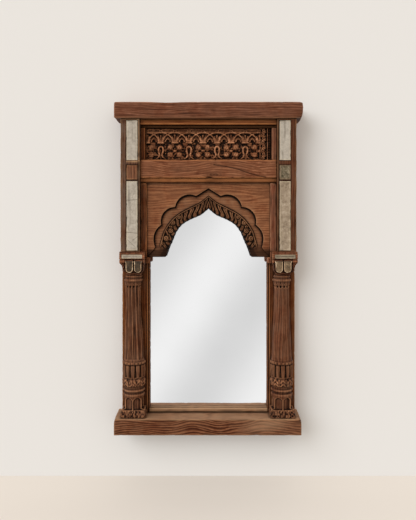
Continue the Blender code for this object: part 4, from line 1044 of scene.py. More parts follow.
column_low, column_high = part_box("left_column")
column_axis = (column_low.x + column_high.x) / 2
column_back = column_high.y
column_middle = column_back - 25.7 * MM
column_foot, column_top = column_low.z, column_high.z
column_half = 46 * MM
column_shares = (
    # height, half width, half depth, squareness
    (0.0, 1.1, 0.89, 1.0), (0.02, 1.13, 0.89, 1.0), (0.034, 1.06, 0.87, 1.0),
    (0.052, 1.07, 0.86, 0.9), (0.058, 0.9, 0.84, 0), (0.139, 0.9, 0.83, 0), (0.148, 0.94, 0.89, 0),
    (0.155, 0.96, 0.91, 0), (0.162, 0.93, 0.88, 0), (0.167, 0.83, 0.78, 0), (0.176, 0.84, 0.79, 0),
    (0.181, 0.94, 0.89, 0), (0.187, 0.98, 0.93, 0), (0.193, 0.95, 0.9, 0), (0.199, 0.83, 0.78, 0),
    (0.213, 0.85, 0.8, 0), (0.22, 1.02, 0.96, 0), (0.24, 1.07, 1.01, 0), (0.262, 1.06, 0.99, 0),
    (0.274, 0.98, 0.9, 0), (0.282, 0.98, 0.9, 0), (0.325, 1.03, 0.95, 0), (0.36, 1.02, 0.94, 0),
    (0.37, 0.93, 0.84, 0), (0.376, 1.03, 0.96, 0), (0.386, 1.04, 0.97, 0), (0.393, 0.93, 0.86, 0),
    (0.405, 0.92, 0.87, 0), (0.44, 0.9, 0.86, 0), (0.62, 0.79, 0.76, 0), (0.79, 0.7, 0.7, 0),
    (0.895, 0.69, 0.69, 0), (0.905, 0.695, 0.695, 0), (0.93, 0.715, 0.715, 0),
    (0.95, 0.73, 0.73, 0), (0.957, 0.8, 0.8, 0), (0.963, 0.84, 0.84, 0), (0.97, 0.8, 0.8, 0),
    (0.976, 0.7, 0.7, 0), (0.982, 0.7, 0.7, 0), (0.988, 0.75, 0.75, 0), (0.994, 0.72, 0.72, 0),
    (1.0, 0.66, 0.66, 0))
flutes = 12
gadroons = 12
# Shares of the column's height: the block at its foot, the band of leaves, the row of beads and
# the holes drilled under the neck
foot_block = 0.052
leaf_foot, leaf_top = 0.214, 0.277
bead_row = 0.381
drilled_row = 0.919
column_rows = np.unique(np.round(np.concatenate([
    np.linspace(0, 0.42, 250), np.linspace(0.42, 0.88, 70), np.linspace(0.88, 1, 70)]), 5))
bearings = np.radians(np.concatenate([np.linspace(-32, 212, 196),
                                      np.linspace(212, 328, 26)[1:-1]]))


def column_carving(turn, share, height, wear_share):
    # How deep the knife went at each bearing and height, in metres
    deep = np.zeros(turn.shape)
    flute = turn * flutes / (2 * math.pi)
    in_flute = np.abs((flute % 1) - 0.5) * 2
    wavy = 0.12 * np.sin(height / (31 * MM) + np.floor(flute) * 2.1)
    channel = np.sqrt(np.clip(1 - np.abs(in_flute + wavy) ** 1.8, 0, 1))
    ends = ramped(share, 0.398, 0.415) * (1 - ramped(share, 0.915, 0.925))
    deep += 4.6 * MM * channel * ends * wear_share
    ribs = turn * gadroons / (2 * math.pi) + 0.5
    from_rib = np.abs((ribs % 1) - 0.5) * 2
    rib_half = 0.72 + 0.12 * ramped(share, 0.285, 0.35)
    swell = np.sqrt(np.clip(1 - (from_rib / rib_half) ** 2, 0, 1))
    ends = ramped(share, 0.276, 0.285) * (1 - ramped(share, 0.362, 0.373))
    deep += 9.5 * MM * (1 - swell) * ends
    deep += 1.3 * MM * nearness(from_rib - 0.42, 0.09) * ends
    tongue = nearness(1 - from_rib, 0.12) * ramped(share, 0.335, 0.31)
    deep -= 4.5 * MM * tongue * ends
    leaf = (turn * 9 / (2 * math.pi) + 0.25) % 1
    tip = np.abs(leaf - 0.5) * 2
    level = np.clip((share - leaf_foot) / 0.062, 0, 1)
    in_band = (share > leaf_foot) & (share < leaf_top)
    outline = 1 - np.clip(level - 0.35, 0, 1) ** 2 * 1.6
    blade = np.clip(1 - (tip / np.maximum(outline, 0.2)) ** 4, 0, 1)
    lobes = 0.7 + 0.3 * np.cos(5.2 * math.pi * level + 6 * tip)
    midrib = 1 - 0.3 * nearness(tip, 0.1)
    deep += np.where(in_band, 3.4 * MM * (1 - blade * lobes * midrib), 0)
    beads = np.abs(np.sin(turn * 9))
    on_ring = nearness(share - bead_row, 0.007)
    deep += 3.6 * MM * (1 - beads) * on_ring
    niche_foot = column_foot + (column_top - column_foot) * foot_block
    niche_top = column_foot + (column_top - column_foot) * 0.137
    radius = 16 * MM
    for centre in (-81, -27, 27, 81):
        offset = (turn - math.radians(90 + centre)) * 38 * MM
        head = np.hypot(offset, np.maximum(height - niche_top + radius, 0))
        inside = np.minimum(radius - head, height - niche_foot)
        deep += 6.5 * MM * ramped(inside, -0.6 * MM, 1.0 * MM)
        deep -= 1.2 * MM * nearness(inside + 1.8 * MM, 1.2 * MM)
    level = column_foot + (column_top - column_foot) * drilled_row
    for k in range(flutes):
        centre = 2 * math.pi * (k + 0.5) / flutes
        off = np.abs((turn - centre + math.pi) % (2 * math.pi) - math.pi) * 31 * MM
        pit = np.hypot(off, (height - level) * 0.8)
        deep = np.maximum(deep, 8.5 * MM * (1 - ramped(pit, 3.4 * MM, 5.4 * MM)))
        lancet = np.abs(off - 6.5 * MM * ramped(height - level, 16 * MM, 0))
        deep += 2.6 * MM * nearness(lancet, 1.5 * MM) * (height > level) * (share < 0.953)
    return deep


column_teak = teak("column_teak", "z", ("#341C11", "#653E29", "#88583E", "#C28A62"),
                   pith=(0.02, 0.05, 0.0), patina="#664B3B", patina_share=0.5)
shares, widths, depths_of, squares = (np.array(line) for line in zip(*column_shares))
for side, word, least, most, lean, seed in ((-1, "left", 1.0, 1.15, -8.5 * MM, 111),
                                            (1, "right", 0.3, 0.8, -2 * MM, 114)):
    turn, share = np.meshgrid(bearings, column_rows, indexing="ij")
    height = column_foot + (column_top - column_foot) * share
    across_half = np.interp(share, shares, widths) * column_half
    deep_half = np.interp(share, shares, depths_of) * column_half
    square = np.interp(share, shares, squares)
    reach = 1 + (1 / np.maximum(np.abs(np.cos(turn)), np.abs(np.sin(turn))) - 1) * square
    flat = np.stack([np.cos(turn) * column_half, np.sin(turn) * column_half, height], -1)
    luck = cloud(flat, (26 * MM, 26 * MM, 120 * MM), seed)
    worn = least + (most - least) * ramped(luck, 0.35, 0.75)
    cut = blurred(column_carving(turn, share, height, worn), 1)
    rough = cloud(flat, (4 * MM, 4 * MM, 8 * MM), seed + 4)
    leafy = ((share > 0.215) & (share < 0.276)) + 1.7 * (share < foot_block)
    cut += leafy * 3.4 * MM * np.clip(rough - 0.25, 0, 1)
    cut += 0.9 * MM * cloud(flat, (5 * MM, 5 * MM, 60 * MM), seed + 1)
    knocks = cloud(flat, (12 * MM, 12 * MM, 60 * MM), seed + 2)
    cut += 1.8 * MM * np.clip(knocks - 0.6, 0, 1) / 0.35
    tilt = lean * (0.5 + 0.5 * ramped(share, 0.42, 0.9)) * (1 - 0.5 * ramped(share, 0.93, 1))
    x = side * abs(column_axis) + tilt + np.cos(turn) * (across_half * reach - cut)
    out = np.minimum(column_middle - np.sin(turn) * (deep_half * reach - cut), column_back)
    hollow = cut - blurred(cut, 8)
    wide_hollow = cut - blurred(cut, 50)
    patchy = cloud(flat, 20 * MM, seed + 3)
    # Crests and the rings that stand out are rubbed paler and painted lighter as highlights, the
    # band of leaves most; hollows, deep cuts such as the niches and the turning's necks are painted
    # dark as shade and dirt, and the foot block and the gadroons are darker all over.
    rubbed = np.clip(-hollow / (1.3 * MM), 0, 1) * (0.2 + 0.6 * patchy)
    rubbed += 0.3 * (cut < 2 * MM) * (share > leaf_foot) * (share < leaf_top) * patchy
    profile = deep_half - blurred(deep_half, 30)
    fluted = (share > 0.4) & (share < 0.905)
    grime = np.clip(hollow / (1.3 * MM), 0, 1) * (0.85 - 0.3 * fluted)
    grime += np.clip(wide_hollow / (4 * MM), 0, 1) * (0.6 - 0.35 * fluted)
    grime += ramped(cut, 3 * MM, 8 * MM) * (0.6 * (share > 0.2) + 0.15 * (share < 0.14))
    grime += np.clip(-profile / (2.5 * MM), 0, 1) * 0.7
    rubbed += np.clip(profile / (2.5 * MM), 0, 1) * 0.7 * patchy
    rubbed += 0.12 * leafy * ramped(rough, 0.45, 0.25)
    grime += 0.2 * leafy * ramped(rough, 0.5, 0.7) + 0.25 * (share < foot_block)
    grime += 0.14 * ((share > leaf_top) & (share < 0.37))
    points = np.stack([x, out, height], -1)
    piece_from_grid(word + "_carved_column", points, ring_faces(*turn.shape), column_teak,
                    "old_teak", [word + "_column"], grime=grime, rubbed=rubbed)

# Capitals: a squared teak block over a bell, carved from one piece, with a pocket for a strip.
# Two cups of perished mirror glass are set in each bell; their chipped edges are pale as putty.

capital_shares = (
    # height, outer edge, inner edge and depth, as shares of the block's own
    (0.0, 0.5, 0.58, 0.7), (0.03, 0.56, 0.63, 0.74), (0.07, 0.56, 0.63, 0.74),
    (0.1, 0.52, 0.6, 0.7), (0.13, 0.7, 0.74, 0.8), (0.16, 0.76, 0.79, 0.86),
    (0.25, 0.8, 0.84, 0.9), (0.4, 0.84, 0.86, 0.93), (0.46, 0.9, 0.9, 0.94),
    (0.5, 0.97, 0.97, 0.96), (0.54, 1.0, 1.0, 0.99), (0.64, 1.0, 1.0, 1.0),
    (0.66, 0.985, 0.985, 0.955), (0.68, 0.985, 0.985, 0.955), (0.7, 1.0, 1.0, 1.0),
    (0.93, 1.0, 1.0, 1.0), (0.945, 0.98, 0.98, 0.955), (0.96, 0.98, 0.98, 0.955),
    (0.975, 1.0, 1.0, 1.0), (1.0, 1.0, 1.0, 0.985))
petal_rim = 1.4 * MM
capital_teak = teak("capital_teak", "x", ("#482819", "#88543A", "#AB7250", "#CC9C74"),
                    patina_share=0.3)
sliver_glasses = {"left": old_glass("greyed_sliver_glass", ("#665C51", "#8C8073", "#ADA193"),
                                    "#D9C6A6", 0.7, 0.3),
                  "right": old_glass("stained_sliver_glass", ("#463D33", "#685B4A", "#8A7C69"),
                                     "#D9C6A6", 0.8, 0.3)}
petal_glasses = {"left": old_glass("perished_petal_glass", ("#261C13", "#403222", "#65523A"),
                                   "#C9B48E", 0.6, 0.6),
                 "right": old_glass("browned_petal_glass", ("#4A3A28", "#7C654B", "#A88E6E"),
                                    "#C9B48E", 0.6, 0.6)}
chipped_edge = old_glass("chipped_glass_edge", ("#7E6048", "#BC9D7B", "#E4CDAE"), "#E6D0A8", 0.3,
                         0.0)
beside_wall = np.array([-0.9, -0.3, 0.3, 0.9]) * MM
side_steps = 12
hollow_place = 4.5 * MM

for side, word, seed in ((-1, "left", 121), (1, "right", 125)):
    low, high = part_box(word + "_capital")
    strip_low, strip_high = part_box(word + "_capital_strip")
    back, block_front = high.y, low.y + 2.5 * MM
    axis = abs(column_axis)
    outer_reach = max(-low.x, high.x) - axis
    inner_reach = axis - min(abs(low.x), abs(high.x))
    walls = sorted((abs(strip_low.x) - axis, abs(strip_high.x) - axis))
    pocket_u = [(wall + inner_reach + beside_wall) / (inner_reach + outer_reach) for wall in walls]
    u = np.unique(np.round(np.concatenate([np.linspace(0, 1, 92), *pocket_u]), 4))
    levels = np.unique(np.round(np.concatenate([
        np.linspace(low.z, high.z, 84), strip_low.z + beside_wall, strip_high.z + beside_wall]), 6))
    level_share = (levels - low.z) / (high.z - low.z)
    heights, *sides = zip(*capital_shares)
    outer, inner, deep = (np.interp(level_share, heights, shares) for shares in sides)
    outer, inner, depth = outer * outer_reach, inner * inner_reach, deep * (back - block_front)
    U, L = np.meshgrid(u, np.arange(len(levels)))
    off = -inner[L] + (inner[L] + outer[L]) * U
    spot_z, spot_share = levels[L], level_share[L]
    in_strip = (off > walls[0]) & (off < walls[1])
    in_strip &= (spot_z > strip_low.z) & (spot_z < strip_high.z)
    sunk = np.where(in_strip, strip_high.y - block_front, 0)
    to_side = np.minimum(off + inner[L], outer[L] - off)
    sunk += 3 * MM * (1 - np.sqrt(np.clip(1 - (1 - np.clip(to_side / (3 * MM), 0, 1)) ** 2, 0, 1)))
    flat = on_face(off, spot_z)
    lumps = cloud(flat, (7 * MM, 7 * MM, 9 * MM), seed)
    bell = ramped(spot_share, 0.56, 0.5)
    side_leaf = np.abs(np.sin((np.abs(off) + 0.5 * (spot_z - low.z)) / (2.6 * MM)))
    beside = ramped(np.abs(off), 33 * MM, 35 * MM)
    sunk += bell * (2.4 * MM * lumps + 2.6 * MM * side_leaf * beside)
    mark = np.zeros(off.shape)
    for place in ("inner", "outer"):
        petal_low, petal_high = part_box(word + "_" + place + "_petal")
        half = (petal_high.x - petal_low.x) / 2
        middle = abs(petal_low.x + petal_high.x) / 2 - axis
        round_foot = np.minimum(spot_z - petal_low.z - half, 0)
        away = np.hypot(off - middle, round_foot) - half
        away = np.maximum(away, spot_z - petal_high.z)
        sunk = np.where(away < 0, np.maximum(sunk, petal_high.y - block_front), sunk)
        mark += nearness(away - hollow_place, 2.2 * MM)
        sunk += 1.6 * MM * nearness(away - hollow_place, 1.6 * MM)
    sunk += 1.3 * MM * cloud(flat, 5 * MM, seed + 1)
    sunk += 3 * MM * np.clip(cloud(flat, 11 * MM, seed + 2) - 0.62, 0, 1) / 0.38
    front = back - depth[L] + np.minimum(sunk, depth[L] - 1 * MM)
    groove = sum(ramped(np.abs(spot_share - line), 0.03, 0.012) for line in (0.67, 0.95))
    # The grooves round the petals and across the block, the pocket, the hollows of the bell and its
    # side leaves are painted dark as shade and dirt, and the sides darker where the bell is.
    grime_and_shade_front = 0.75 * mark + 0.45 * groove + 0.6 * in_strip + 0.5 * bell * beside * side_leaf
    grime_and_shade_front += 0.3 * bell * (1 - lumps)
    from_side = np.abs(off - (walls[0] + walls[1]) / 2) - (walls[1] - walls[0]) / 2
    from_end = np.abs(spot_z - (strip_low.z + strip_high.z) / 2)
    from_end = from_end - (strip_high.z - strip_low.z) / 2
    edge_rim = nearness(np.maximum(from_side, from_end), 1.2 * MM)
    grime_and_shade_front += 0.6 * edge_rim + 0.3 * ramped(lumps, 0.5, 0.8)
    rubbed_front = nearness(to_side, 2 * MM) * 0.5 * lumps
    steps = np.linspace(0, 1, side_steps + 1)[1:]
    outward = front[:, -1:] * (1 - steps) + back * steps
    inward = front[:, :1] * (1 - steps[::-1]) + back * steps[::-1]
    side_off = np.repeat(off[:, -1:], side_steps, 1)
    fluting = 1.8 * MM * np.sin(math.pi * steps) * bell[:, :1] * np.abs(np.sin(steps * 11))
    side_off = side_off - fluting
    rows_off = np.hstack([off, side_off, np.repeat(off[:, :1], side_steps, 1)])
    rows_y = np.hstack([front, outward, inward])
    rows_z = np.repeat(levels[:, None], rows_off.shape[1], 1)
    if side < 0:
        rows_off, rows_y = rows_off[:, ::-1], rows_y[:, ::-1]
    points = np.stack([side * (axis + rows_off), rows_y, rows_z], -1)
    plain = np.repeat(0.35 * bell[:, :1] + 0.1, 2 * side_steps, 1)
    grime = np.hstack([grime_and_shade_front, plain])
    rubbed = np.hstack([rubbed_front, plain * 0])
    if side < 0:
        grime, rubbed = grime[:, ::-1], rubbed[:, ::-1]
    piece_from_grid(word + "_carved_capital", points, loop_faces(*rows_off.shape), capital_teak,
                    "old_teak", [word + "_capital"], grime=grime, rubbed=rubbed)
    worn_block(word + "_capital_sliver", [word + "_capital_strip"], sliver_glasses[word],
               "aged_glass", "x", 2.5 * MM, edge=1.2 * MM, seed=seed + 3)
    for petal, way in ((word + "_inner_petal", -side), (word + "_outer_petal", side)):
        petal_low, petal_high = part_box(petal)
        half = (petal_high.x - petal_low.x) / 2 - 1.8 * MM
        middle_x = (petal_low.x + petal_high.x) / 2
        height = petal_high.z - petal_low.z
        s, t = np.meshgrid(np.linspace(-1, 1, 19), np.linspace(0.015, 1, 34))
        foot_share = np.minimum(t * height / half, 1)
        half_at = half * np.sqrt(1 - (1 - foot_share) ** 2)
        flare_out = 3.2 * MM * ramped(t, 0.72, 1.0) * np.clip(s * way, 0, 1)
        x = middle_x + s * half_at + flare_out * way
        z = petal_low.z + t * height
        lumps = cloud(on_face(x, z), 6 * MM, seed + 5)
        y = petal_low.y + 0.7 * MM * s ** 2 + 0.8 * MM * lumps
        points = [np.stack([x, face, z], -1) for face in (y, 0 * y + petal_high.y)]
        count = s.size
        index = np.arange(count).reshape(s.shape)
        front_faces = quads(index)
        rim = np.concatenate([index[0], index[1:, -1], index[-1, -2::-1], index[-2:0:-1, 0]])
        sides = np.stack([rim, rim + count, np.roll(rim, -1) + count, np.roll(rim, -1)], -1)
        faces = [*front_faces, *(front_faces[:, ::-1] + count), *sides]
        grime = 0.55 * nearness(1 - np.abs(s), 0.14) + 0.6 * nearness(1 - t, 0.1)
        grime = np.tile((grime + 0.35 * (lumps < 0.3)).ravel(), 2)
        piece_from_grid(petal + "_glass", points, faces, petal_glasses[word], "grey_glass", [petal],
                        grime=grime, rubbed=np.zeros(2 * count))
        bend = np.linspace(math.pi, 2 * math.pi, 22)
        down = np.linspace(petal_high.z + 0.5 * MM, petal_low.z + half, 16)[:-1]
        reach = half + 0.9 * MM
        ear = 3.6 * MM * ramped(down, petal_high.z - 9 * MM, petal_high.z)
        left_x = middle_x - reach - (ear if way < 0 else ear * 0.25)
        right_x = middle_x + reach + (ear if way > 0 else ear * 0.25)
        path = np.concatenate([np.stack([left_x, down], 1),
                               np.stack([middle_x + reach * np.cos(bend),
                                         petal_low.z + half + reach * np.sin(bend)], 1),
                               np.stack([right_x, down], 1)[::-1]])
        ahead = np.gradient(path, axis=0)
        ahead /= np.linalg.norm(ahead, axis=1, keepdims=True)
        across_path = np.stack([-ahead[:, 1], ahead[:, 0]], 1)
        spin = np.linspace(0, 2 * math.pi, 10, endpoint=False)
        chipped = cloud(on_face(path[:, 0], path[:, 1]), 7 * MM, seed + 7)
        thick = petal_rim * (0.6 + 0.6 * ramped(chipped, 0.2, 0.5))
        thick[[0, -1]] *= 0.4
        ring_x = path[:, 0, None] + across_path[:, 0, None] * thick[:, None] * np.cos(spin)
        ring_z = path[:, 1, None] + across_path[:, 1, None] * thick[:, None] * np.cos(spin)
        ring_y = petal_low.y + 1 * MM - thick[:, None] * np.sin(spin) * 0.9
        ring_y = np.maximum(ring_y, low.y)
        points = np.stack([ring_x, ring_y, ring_z], -1)
        grime = np.repeat(np.clip((0.35 - chipped) * 2.2, 0, 0.8), len(spin))
        piece_from_grid(petal + "_rim", points, loop_faces(*ring_x.shape), chipped_edge,
                        "aged_glass", grime=grime, rubbed=np.zeros(ring_x.size))

# Imposts: the small corner blocks of dark teak under the ends of the arch board, in the
# fillets' finishes: painted darker on the left as shade, and lighter on the right as light.
# Each is cut from one stick, with a tongue up beside the board, and is rounded by wear.

for word, seed in (("left", 131), ("right", 134)):
    low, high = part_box(word + "_impost")
    tongue_width = 5.7 * MM
    block_top = board_low.z - 0.3 * MM
    block_box = ((low.x, low.y, low.z), (high.x, high.y, block_top))
    tongue_box = ((low.x if low.x < 0 else high.x - tongue_width, low.y, block_top),
                  (low.x + tongue_width if low.x < 0 else high.x, high.y, high.z))
    worn_block(word + "_impost_block", [word + "_impost"], fillet_teaks[word], "old_teak", "x",
               2.5 * MM, edge=4.5 * MM, seed=seed, box=block_box)
    worn_block(word + "_impost_tongue", (), fillet_teaks[word], "old_teak", "z", 3 * MM,
               edge=1.2 * MM, seed=seed + 1, box=tongue_box)

# Rails behind: the bottom rail is a bleached strip of teak in front of the glass, and the back
# rail, sawn and never finished, backs the top of the glass behind the arch board.

bleached_teak = teak("bleached_rail_teak", "x", ("#6E4E38", "#A07A5A", "#B68E6A", "#C49C76"))
rail_low, rail_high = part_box("bottom_rail")
glass_foot = glass_low.z - 0.3 * MM
worn_top = rail_high.z - 4.5 * MM
# Its foot is painted dark as shade in the joint with the sill, and a band above it a little darker
moulded("bottom_rail_strip", ["bottom_rail"], bleached_teak, "old_teak",
        [(rail_high.y, rail_low.z), (rail_low.y, rail_low.z), (rail_low.y, worn_top),
         (rebate_floor, worn_top), (rebate_floor, glass_foot), (rail_high.y, glass_foot)],
        rail_low.x, rail_high.x, 1.6 * MM, 141, shades=((-1, 0.3, 1.0), (0.3, 0.45, 0.25)))
back_teak = teak("sawn_back_teak", "x", ("#3A2417", "#6A4630", "#8A6246", "#A88462"),
                 patina_share=0.6)
rail_low, rail_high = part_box("back_rail")
glass_head = glass_high.z + 0.3 * MM
moulded("back_rail_strip", ["back_rail"], back_teak, "old_teak",
        [(rebate_floor, rail_low.z), (rail_low.y, rail_low.z), (rail_low.y, rail_high.z),
         (rail_high.y, rail_high.z), (rail_high.y, glass_head), (rebate_floor, glass_head)],
        rail_low.x, rail_high.x, 2 * MM, 144)

# Mirror glass: a new sheet of float glass, 4 mm thick, silvered on its back. It is flat and clean.
# All that the eye sees is the pale room in it, so the finish is the silver's.

silvering, tree, shader, place = new_finish("silvered_float_glass", 0.02, 1.0)
tarnish = add(tree, "TexNoise", {"Vector": place, "Scale": 5, "Detail": 2}, out="Fac")
tone = add(tree, "ValToRGB", {"Fac": tarnish}, stops=((0.3, "#FCFCFC"), (0.7, "#FFFFFF")))
tree.links.new(tone, shader.inputs["Base Color"])
haze = add(tree, "MapRange", {"Value": tarnish, "To Min": 0.015, "To Max": 0.06})
tree.links.new(haze, shader.inputs["Roughness"])


def refinish(finish, *nodes):
    # Gives solids whose shape is right their finish
    for node in nodes:
        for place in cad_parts[node].material_slots:
            place.material = finish


refinish(silvering, "mirror_glass")

# Backing board: a 6 mm sheet of brown hardboard, smooth on one face, that keeps the glass in.
# Pressed wood fibres give it a felted mottle, drawn 4 mm long, as coarse as it needs to show.

hardboard, tree, shader, place = new_finish("pressed_hardboard", 0.75)
fibres = add(tree, "TexNoise", {"Vector": place, "Scale": 260, "Detail": 6, "Roughness": 0.7},
             out="Fac")
stain = add(tree, "TexNoise", {"Vector": place, "Scale": 9, "Detail": 4}, out="Fac")
mottle = add(tree, "MixRGB", {"Fac": 0.45, "Color1": fibres, "Color2": stain})
tone = add(tree, "ValToRGB", {"Fac": mottle}, stops=((0.32, "#5C4126"), (0.68, "#9A774D"),
                                                     (0.5, "#7C5B38")))
tree.links.new(tone, shader.inputs["Base Color"])
bump = add(tree, "Bump", {"Height": fibres, "Strength": 0.35, "Distance": 0.4 * MM})
tree.links.new(bump, shader.inputs["Normal"])
refinish(hardboard, "backing_board")

# Pegs: round sticks of teak driven through the joints of stiles, beam and sill, and cut flush.
# Only their end grain shows, darker than the wood round it and full of pores 1 mm across.

peg_teak, tree, shader, place = new_finish("peg_end_grain_teak", 0.7)
cells = add(tree, "TexNoise", {"Vector": place, "Scale": 900, "Detail": 3}, out="Fac")
tone = add(tree, "ValToRGB", {"Fac": cells}, stops=((0.3, "#2E1A10"), (0.7, "#8A6244"),
                                                    (0.5, "#5E3E2A")))
tree.links.new(tone, shader.inputs["Base Color"])
bump = add(tree, "Bump", {"Height": cells, "Strength": 0.4, "Distance": 0.3 * MM})
tree.links.new(bump, shader.inputs["Normal"])
refinish(peg_teak, "left_top_peg", "right_top_peg", "left_bottom_peg", "right_bottom_peg")

# Straps, rings and screws: mild steel, stamped or drawn and zinc-plated, with a dull skin whose
# crystals are drawn 2.4 mm wide, as coarse as they need to show. Two screws hold each strap to
# its stile, and a ring hangs in the strap's rolled eye.

zinc, tree, shader, place = new_finish("zinc_plated_steel", 0.38, 1.0)
spangle = add(tree, "TexVoronoi", {"Vector": place, "Scale": 420}, out="Color")
smears = add(tree, "TexNoise", {"Vector": place, "Scale": 90, "Detail": 5}, out="Fac")
grey = add(tree, "ValToRGB", {"Fac": smears}, stops=((0.3, "#8C8D8C"), (0.7, "#C6C7C4"),
                                                     (0.5, "#ABACAA")))
grey = add(tree, "MixRGB", {"Fac": 0.08, "Color1": grey, "Color2": spangle}, blend_type="OVERLAY")
tree.links.new(grey, shader.inputs["Base Color"])
dull = add(tree, "MapRange", {"Value": smears, "To Min": 0.25, "To Max": 0.6})
tree.links.new(dull, shader.inputs["Roughness"])
refinish(zinc, *[word + "_" + name for word in ("left", "right")
                 for name in ("strap", "strap_upper_screw", "strap_lower_screw", "ring",
                              "lower_button_screw", "upper_button_screw")])

# Turn buttons: small brass tongues, cast and tumbled, gone brown in smears 8 mm across.
# Each turns on its screw and holds the edge of the backing board.

brass, tree, shader, place = new_finish("tarnished_brass", 0.35, 1.0)
smears = add(tree, "TexNoise", {"Vector": place, "Scale": 120, "Detail": 6}, out="Fac")
gold = add(tree, "ValToRGB", {"Fac": smears}, stops=((0.3, "#7A5A2C"), (0.7, "#D2AE68"),
                                                     (0.5, "#B08D4C")))
tree.links.new(gold, shader.inputs["Base Color"])
dull = add(tree, "MapRange", {"Value": smears, "From Min": 0.7, "From Max": 0.3, "To Min": 0.22,
                              "To Max": 0.55})
tree.links.new(dull, shader.inputs["Roughness"])
refinish(brass, *[word + "_" + name for word in ("left", "right")
                  for name in ("lower_button", "upper_button")])

# Old dirt and painted shade: every joint, corner and underside of the teak is darkened, partly
# by soot, oil and dust that no cloth reaches and partly as painted shade. A coarse grid of the
# whole frame tells how closed in each point is, and so how dark it is painted.

occlusion_cell = 6 * MM
occlusion_margin = 60 * MM
shown_pieces = [piece for piece in bpy.data.objects
                if piece.type == "MESH" and "grime" in piece.data.attributes]
surfaces = {}
for piece in shown_pieces:
    count = len(piece.data.vertices)
    spots, lean = np.empty(count * 3, np.float32), np.empty(count * 3, np.float32)
    piece.data.vertices.foreach_get("co", spots)
    piece.data.vertex_normals.foreach_get("vector", lean)
    surfaces[piece.name] = (spots.reshape(-1, 3), lean.reshape(-1, 3))
origin = np.array(cad_bounds[0]) - occlusion_margin
counts = np.ceil((np.array(cad_bounds[1]) + occlusion_margin - origin) / occlusion_cell).astype(int)
filled = np.zeros(counts)
for spots, lean in surfaces.values():
    filled[tuple(((spots - origin) / occlusion_cell).astype(int).T)] = 1


def thickened(grid, rounds):
    # The grid smoothed along all three axes
    for _ in range(rounds):
        for axis in range(3):
            grid = (np.roll(grid, 1, axis) + 2 * grid + np.roll(grid, -1, axis)) / 4
    return grid


# How much of the painted shade and dirt stays where glass is wiped, and where rubbed or
# bleached wood stands out
shade_and_dirt_kept = (("glass", 0.45), ("cornice", 0.25), ("bleached", 0.25))
near = thickened(filled, 1)
mid = thickened(near, 4)
far = thickened(mid, 12)
for piece in shown_pieces:
    spots, lean = surfaces[piece.name]
    occlusion_shade = np.zeros(len(spots))
    for grid, reach, usual, full, most in (
            (near, 1.8, 0.14, 0.6, 0.45), (mid, 3.2, 0.14, 0.5, 0.18), (far, 6.0, 0.12, 0.4, 0.1)):
        place = (spots + lean * reach * occlusion_cell - origin) / occlusion_cell - 0.5
        low = np.clip(place.astype(int), 0, counts - 2)
        value = between_cells(grid, low, np.clip(place - low, 0, 1))
        occlusion_shade += np.clip((value - usual) / (full - usual), 0, 1) * most
    layer = piece.data.attributes["grime"].data
    grime = np.empty(len(layer), np.float32)
    layer.foreach_get("value", grime)
    # Undersides are painted darker, as shade
    below = np.clip(-lean[:, 2], 0, 1) ** 2 * 0.4
    uneven = 0.75 + 0.5 * cloud(spots, 22 * MM, 151)
    finish_name = piece.data.materials[0].name
    kept = next((share for word, share in shade_and_dirt_kept if word in finish_name), 1)
    grime = 1 - (1 - grime) * (1 - np.clip((occlusion_shade + below) * uneven * kept, 0, 0.92))
    layer.foreach_set("value", np.clip(grime, 0, 1).astype(np.float32))

# Studio: a plain pale wall and floor, one soft lamp from the upper left and light all round.
# Wall and floor show to the camera only, and only from their fronts.

wall_gap = 0.5 * MM
floor_drop = 0.221
floor_level = cad_bounds[0][2] - floor_drop
sheet_width, sheet_depth = 9, 5


def pale_sheet(name, place, turn, tone):
    # A painted sheet that throws no light and can't be seen from behind
    half_x, half_y = sheet_width / 2, sheet_depth / 2
    mesh = bpy.data.meshes.new(name)
    mesh.from_pydata([(-half_x, -half_y, 0), (half_x, -half_y, 0), (half_x, half_y, 0),
                      (-half_x, half_y, 0)], [], [(0, 1, 2, 3)])
    finish, tree, shader, _ = new_finish(name + "_paint", 0.95)
    shader.inputs["Base Color"].default_value = linear(tone)
    shader.inputs["Specular IOR Level"].default_value = 0.0
    clear = add(tree, "BsdfTransparent")
    behind = add(tree, "NewGeometry", out="Backfacing")
    shown = add(tree, "MixShader", {0: behind, 1: shader.outputs[0], 2: clear})
    tree.links.new(shown, tree.nodes["Material Output"].inputs["Surface"])
    mesh.materials.append(finish)
    sheet = placed(name, mesh)
    sheet.location = place
    sheet.rotation_euler = turn
    for way in ("diffuse", "glossy", "transmission", "shadow"):
        setattr(sheet, "visible_" + way, False)


pale_sheet("wall", (0, wall_gap, floor_level + sheet_depth / 2), (math.radians(90), 0, 0),
           "#E7E4E0")
pale_sheet("floor", (0, wall_gap - sheet_depth / 2, floor_level), (0, 0, 0), "#E1DAD2")

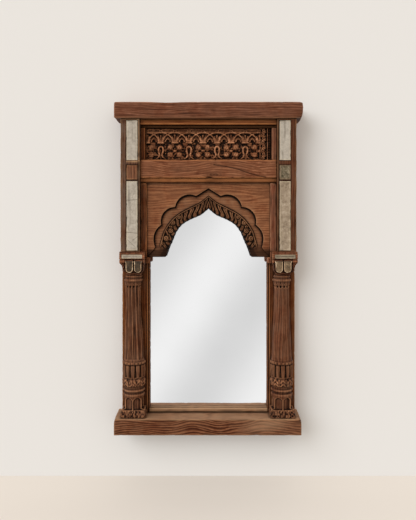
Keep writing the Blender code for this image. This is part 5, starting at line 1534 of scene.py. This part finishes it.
lamp = bpy.data.lights.new("soft_lamp", "SUN")
lamp.angle = math.radians(45)
lamp.energy = 1.65
lamp.color = (0.95, 1.0, 1.06)
lamp_stand = placed("soft_lamp", lamp)
aim = np.array([0.95, 1.0, -0.7])
lamp_stand.rotation_euler = (math.atan2(math.hypot(aim[0], aim[1]), -aim[2]), 0,
                             math.atan2(-aim[0], aim[1]))

room = bpy.data.worlds.new("pale_room")
room.use_nodes = True
bpy.context.scene.world = room
tree = room.node_tree
sky = tree.nodes["Background"]
sky.inputs["Color"].default_value = linear("#FFF8EF")
way = add(tree, "TexCoord", out="Generated")
height = add(tree, "SeparateXYZ", {0: way}, out="Z")
from_above = add(tree, "MapRange", {"Value": height, "From Min": -1.0, "From Max": 1.0,
                                    "To Min": 0.44, "To Max": 0.99})
tree.links.new(from_above, sky.inputs["Strength"])
rays = add(tree, "LightPath").node
backdrop = add(tree, "Background", {"Color": "#E7E0D8", "Strength": 1.0})
sheen_slope = 0.65
slant = add(tree, "Mapping", {"Vector": way, "Rotation": (0, -math.atan(sheen_slope), 0)})
sheen = add(tree, "TexWave", {"Vector": slant, "Scale": 1.5, "Distortion": 0.0,
                              "Phase Offset": 1.57}, out="Fac")
pale_bands = add(tree, "MixRGB", {"Fac": sheen, "Color1": "#D7D7D7", "Color2": "#F1F1F1"})
mirrored_room = add(tree, "Background", {"Color": pale_bands, "Strength": 1.0})
glossy = add(tree, "MixShader", {0: rays.outputs["Is Glossy Ray"], 1: sky.outputs[0],
                                 2: mirrored_room})
seen = add(tree, "MixShader", {0: rays.outputs["Is Camera Ray"], 1: glossy, 2: backdrop})
tree.links.new(seen, tree.nodes["World Output"].inputs["Surface"])

eye_level = 0.843
eye_distance = 2.07
width_in_view = 2.08
camera = bpy.data.cameras.new("camera")
camera.lens = camera.sensor_width * eye_distance / width_in_view
camera.shift_x = -0.001
camera.shift_y = -0.0673
eye = placed("camera", camera)
eye.location = (0, beam_front - eye_distance, cad_bounds[0][2] + eye_level)
eye.rotation_euler = (math.radians(90), 0, 0)
bpy.context.scene.camera = eye
bpy.context.scene.view_settings.view_transform = "Standard"
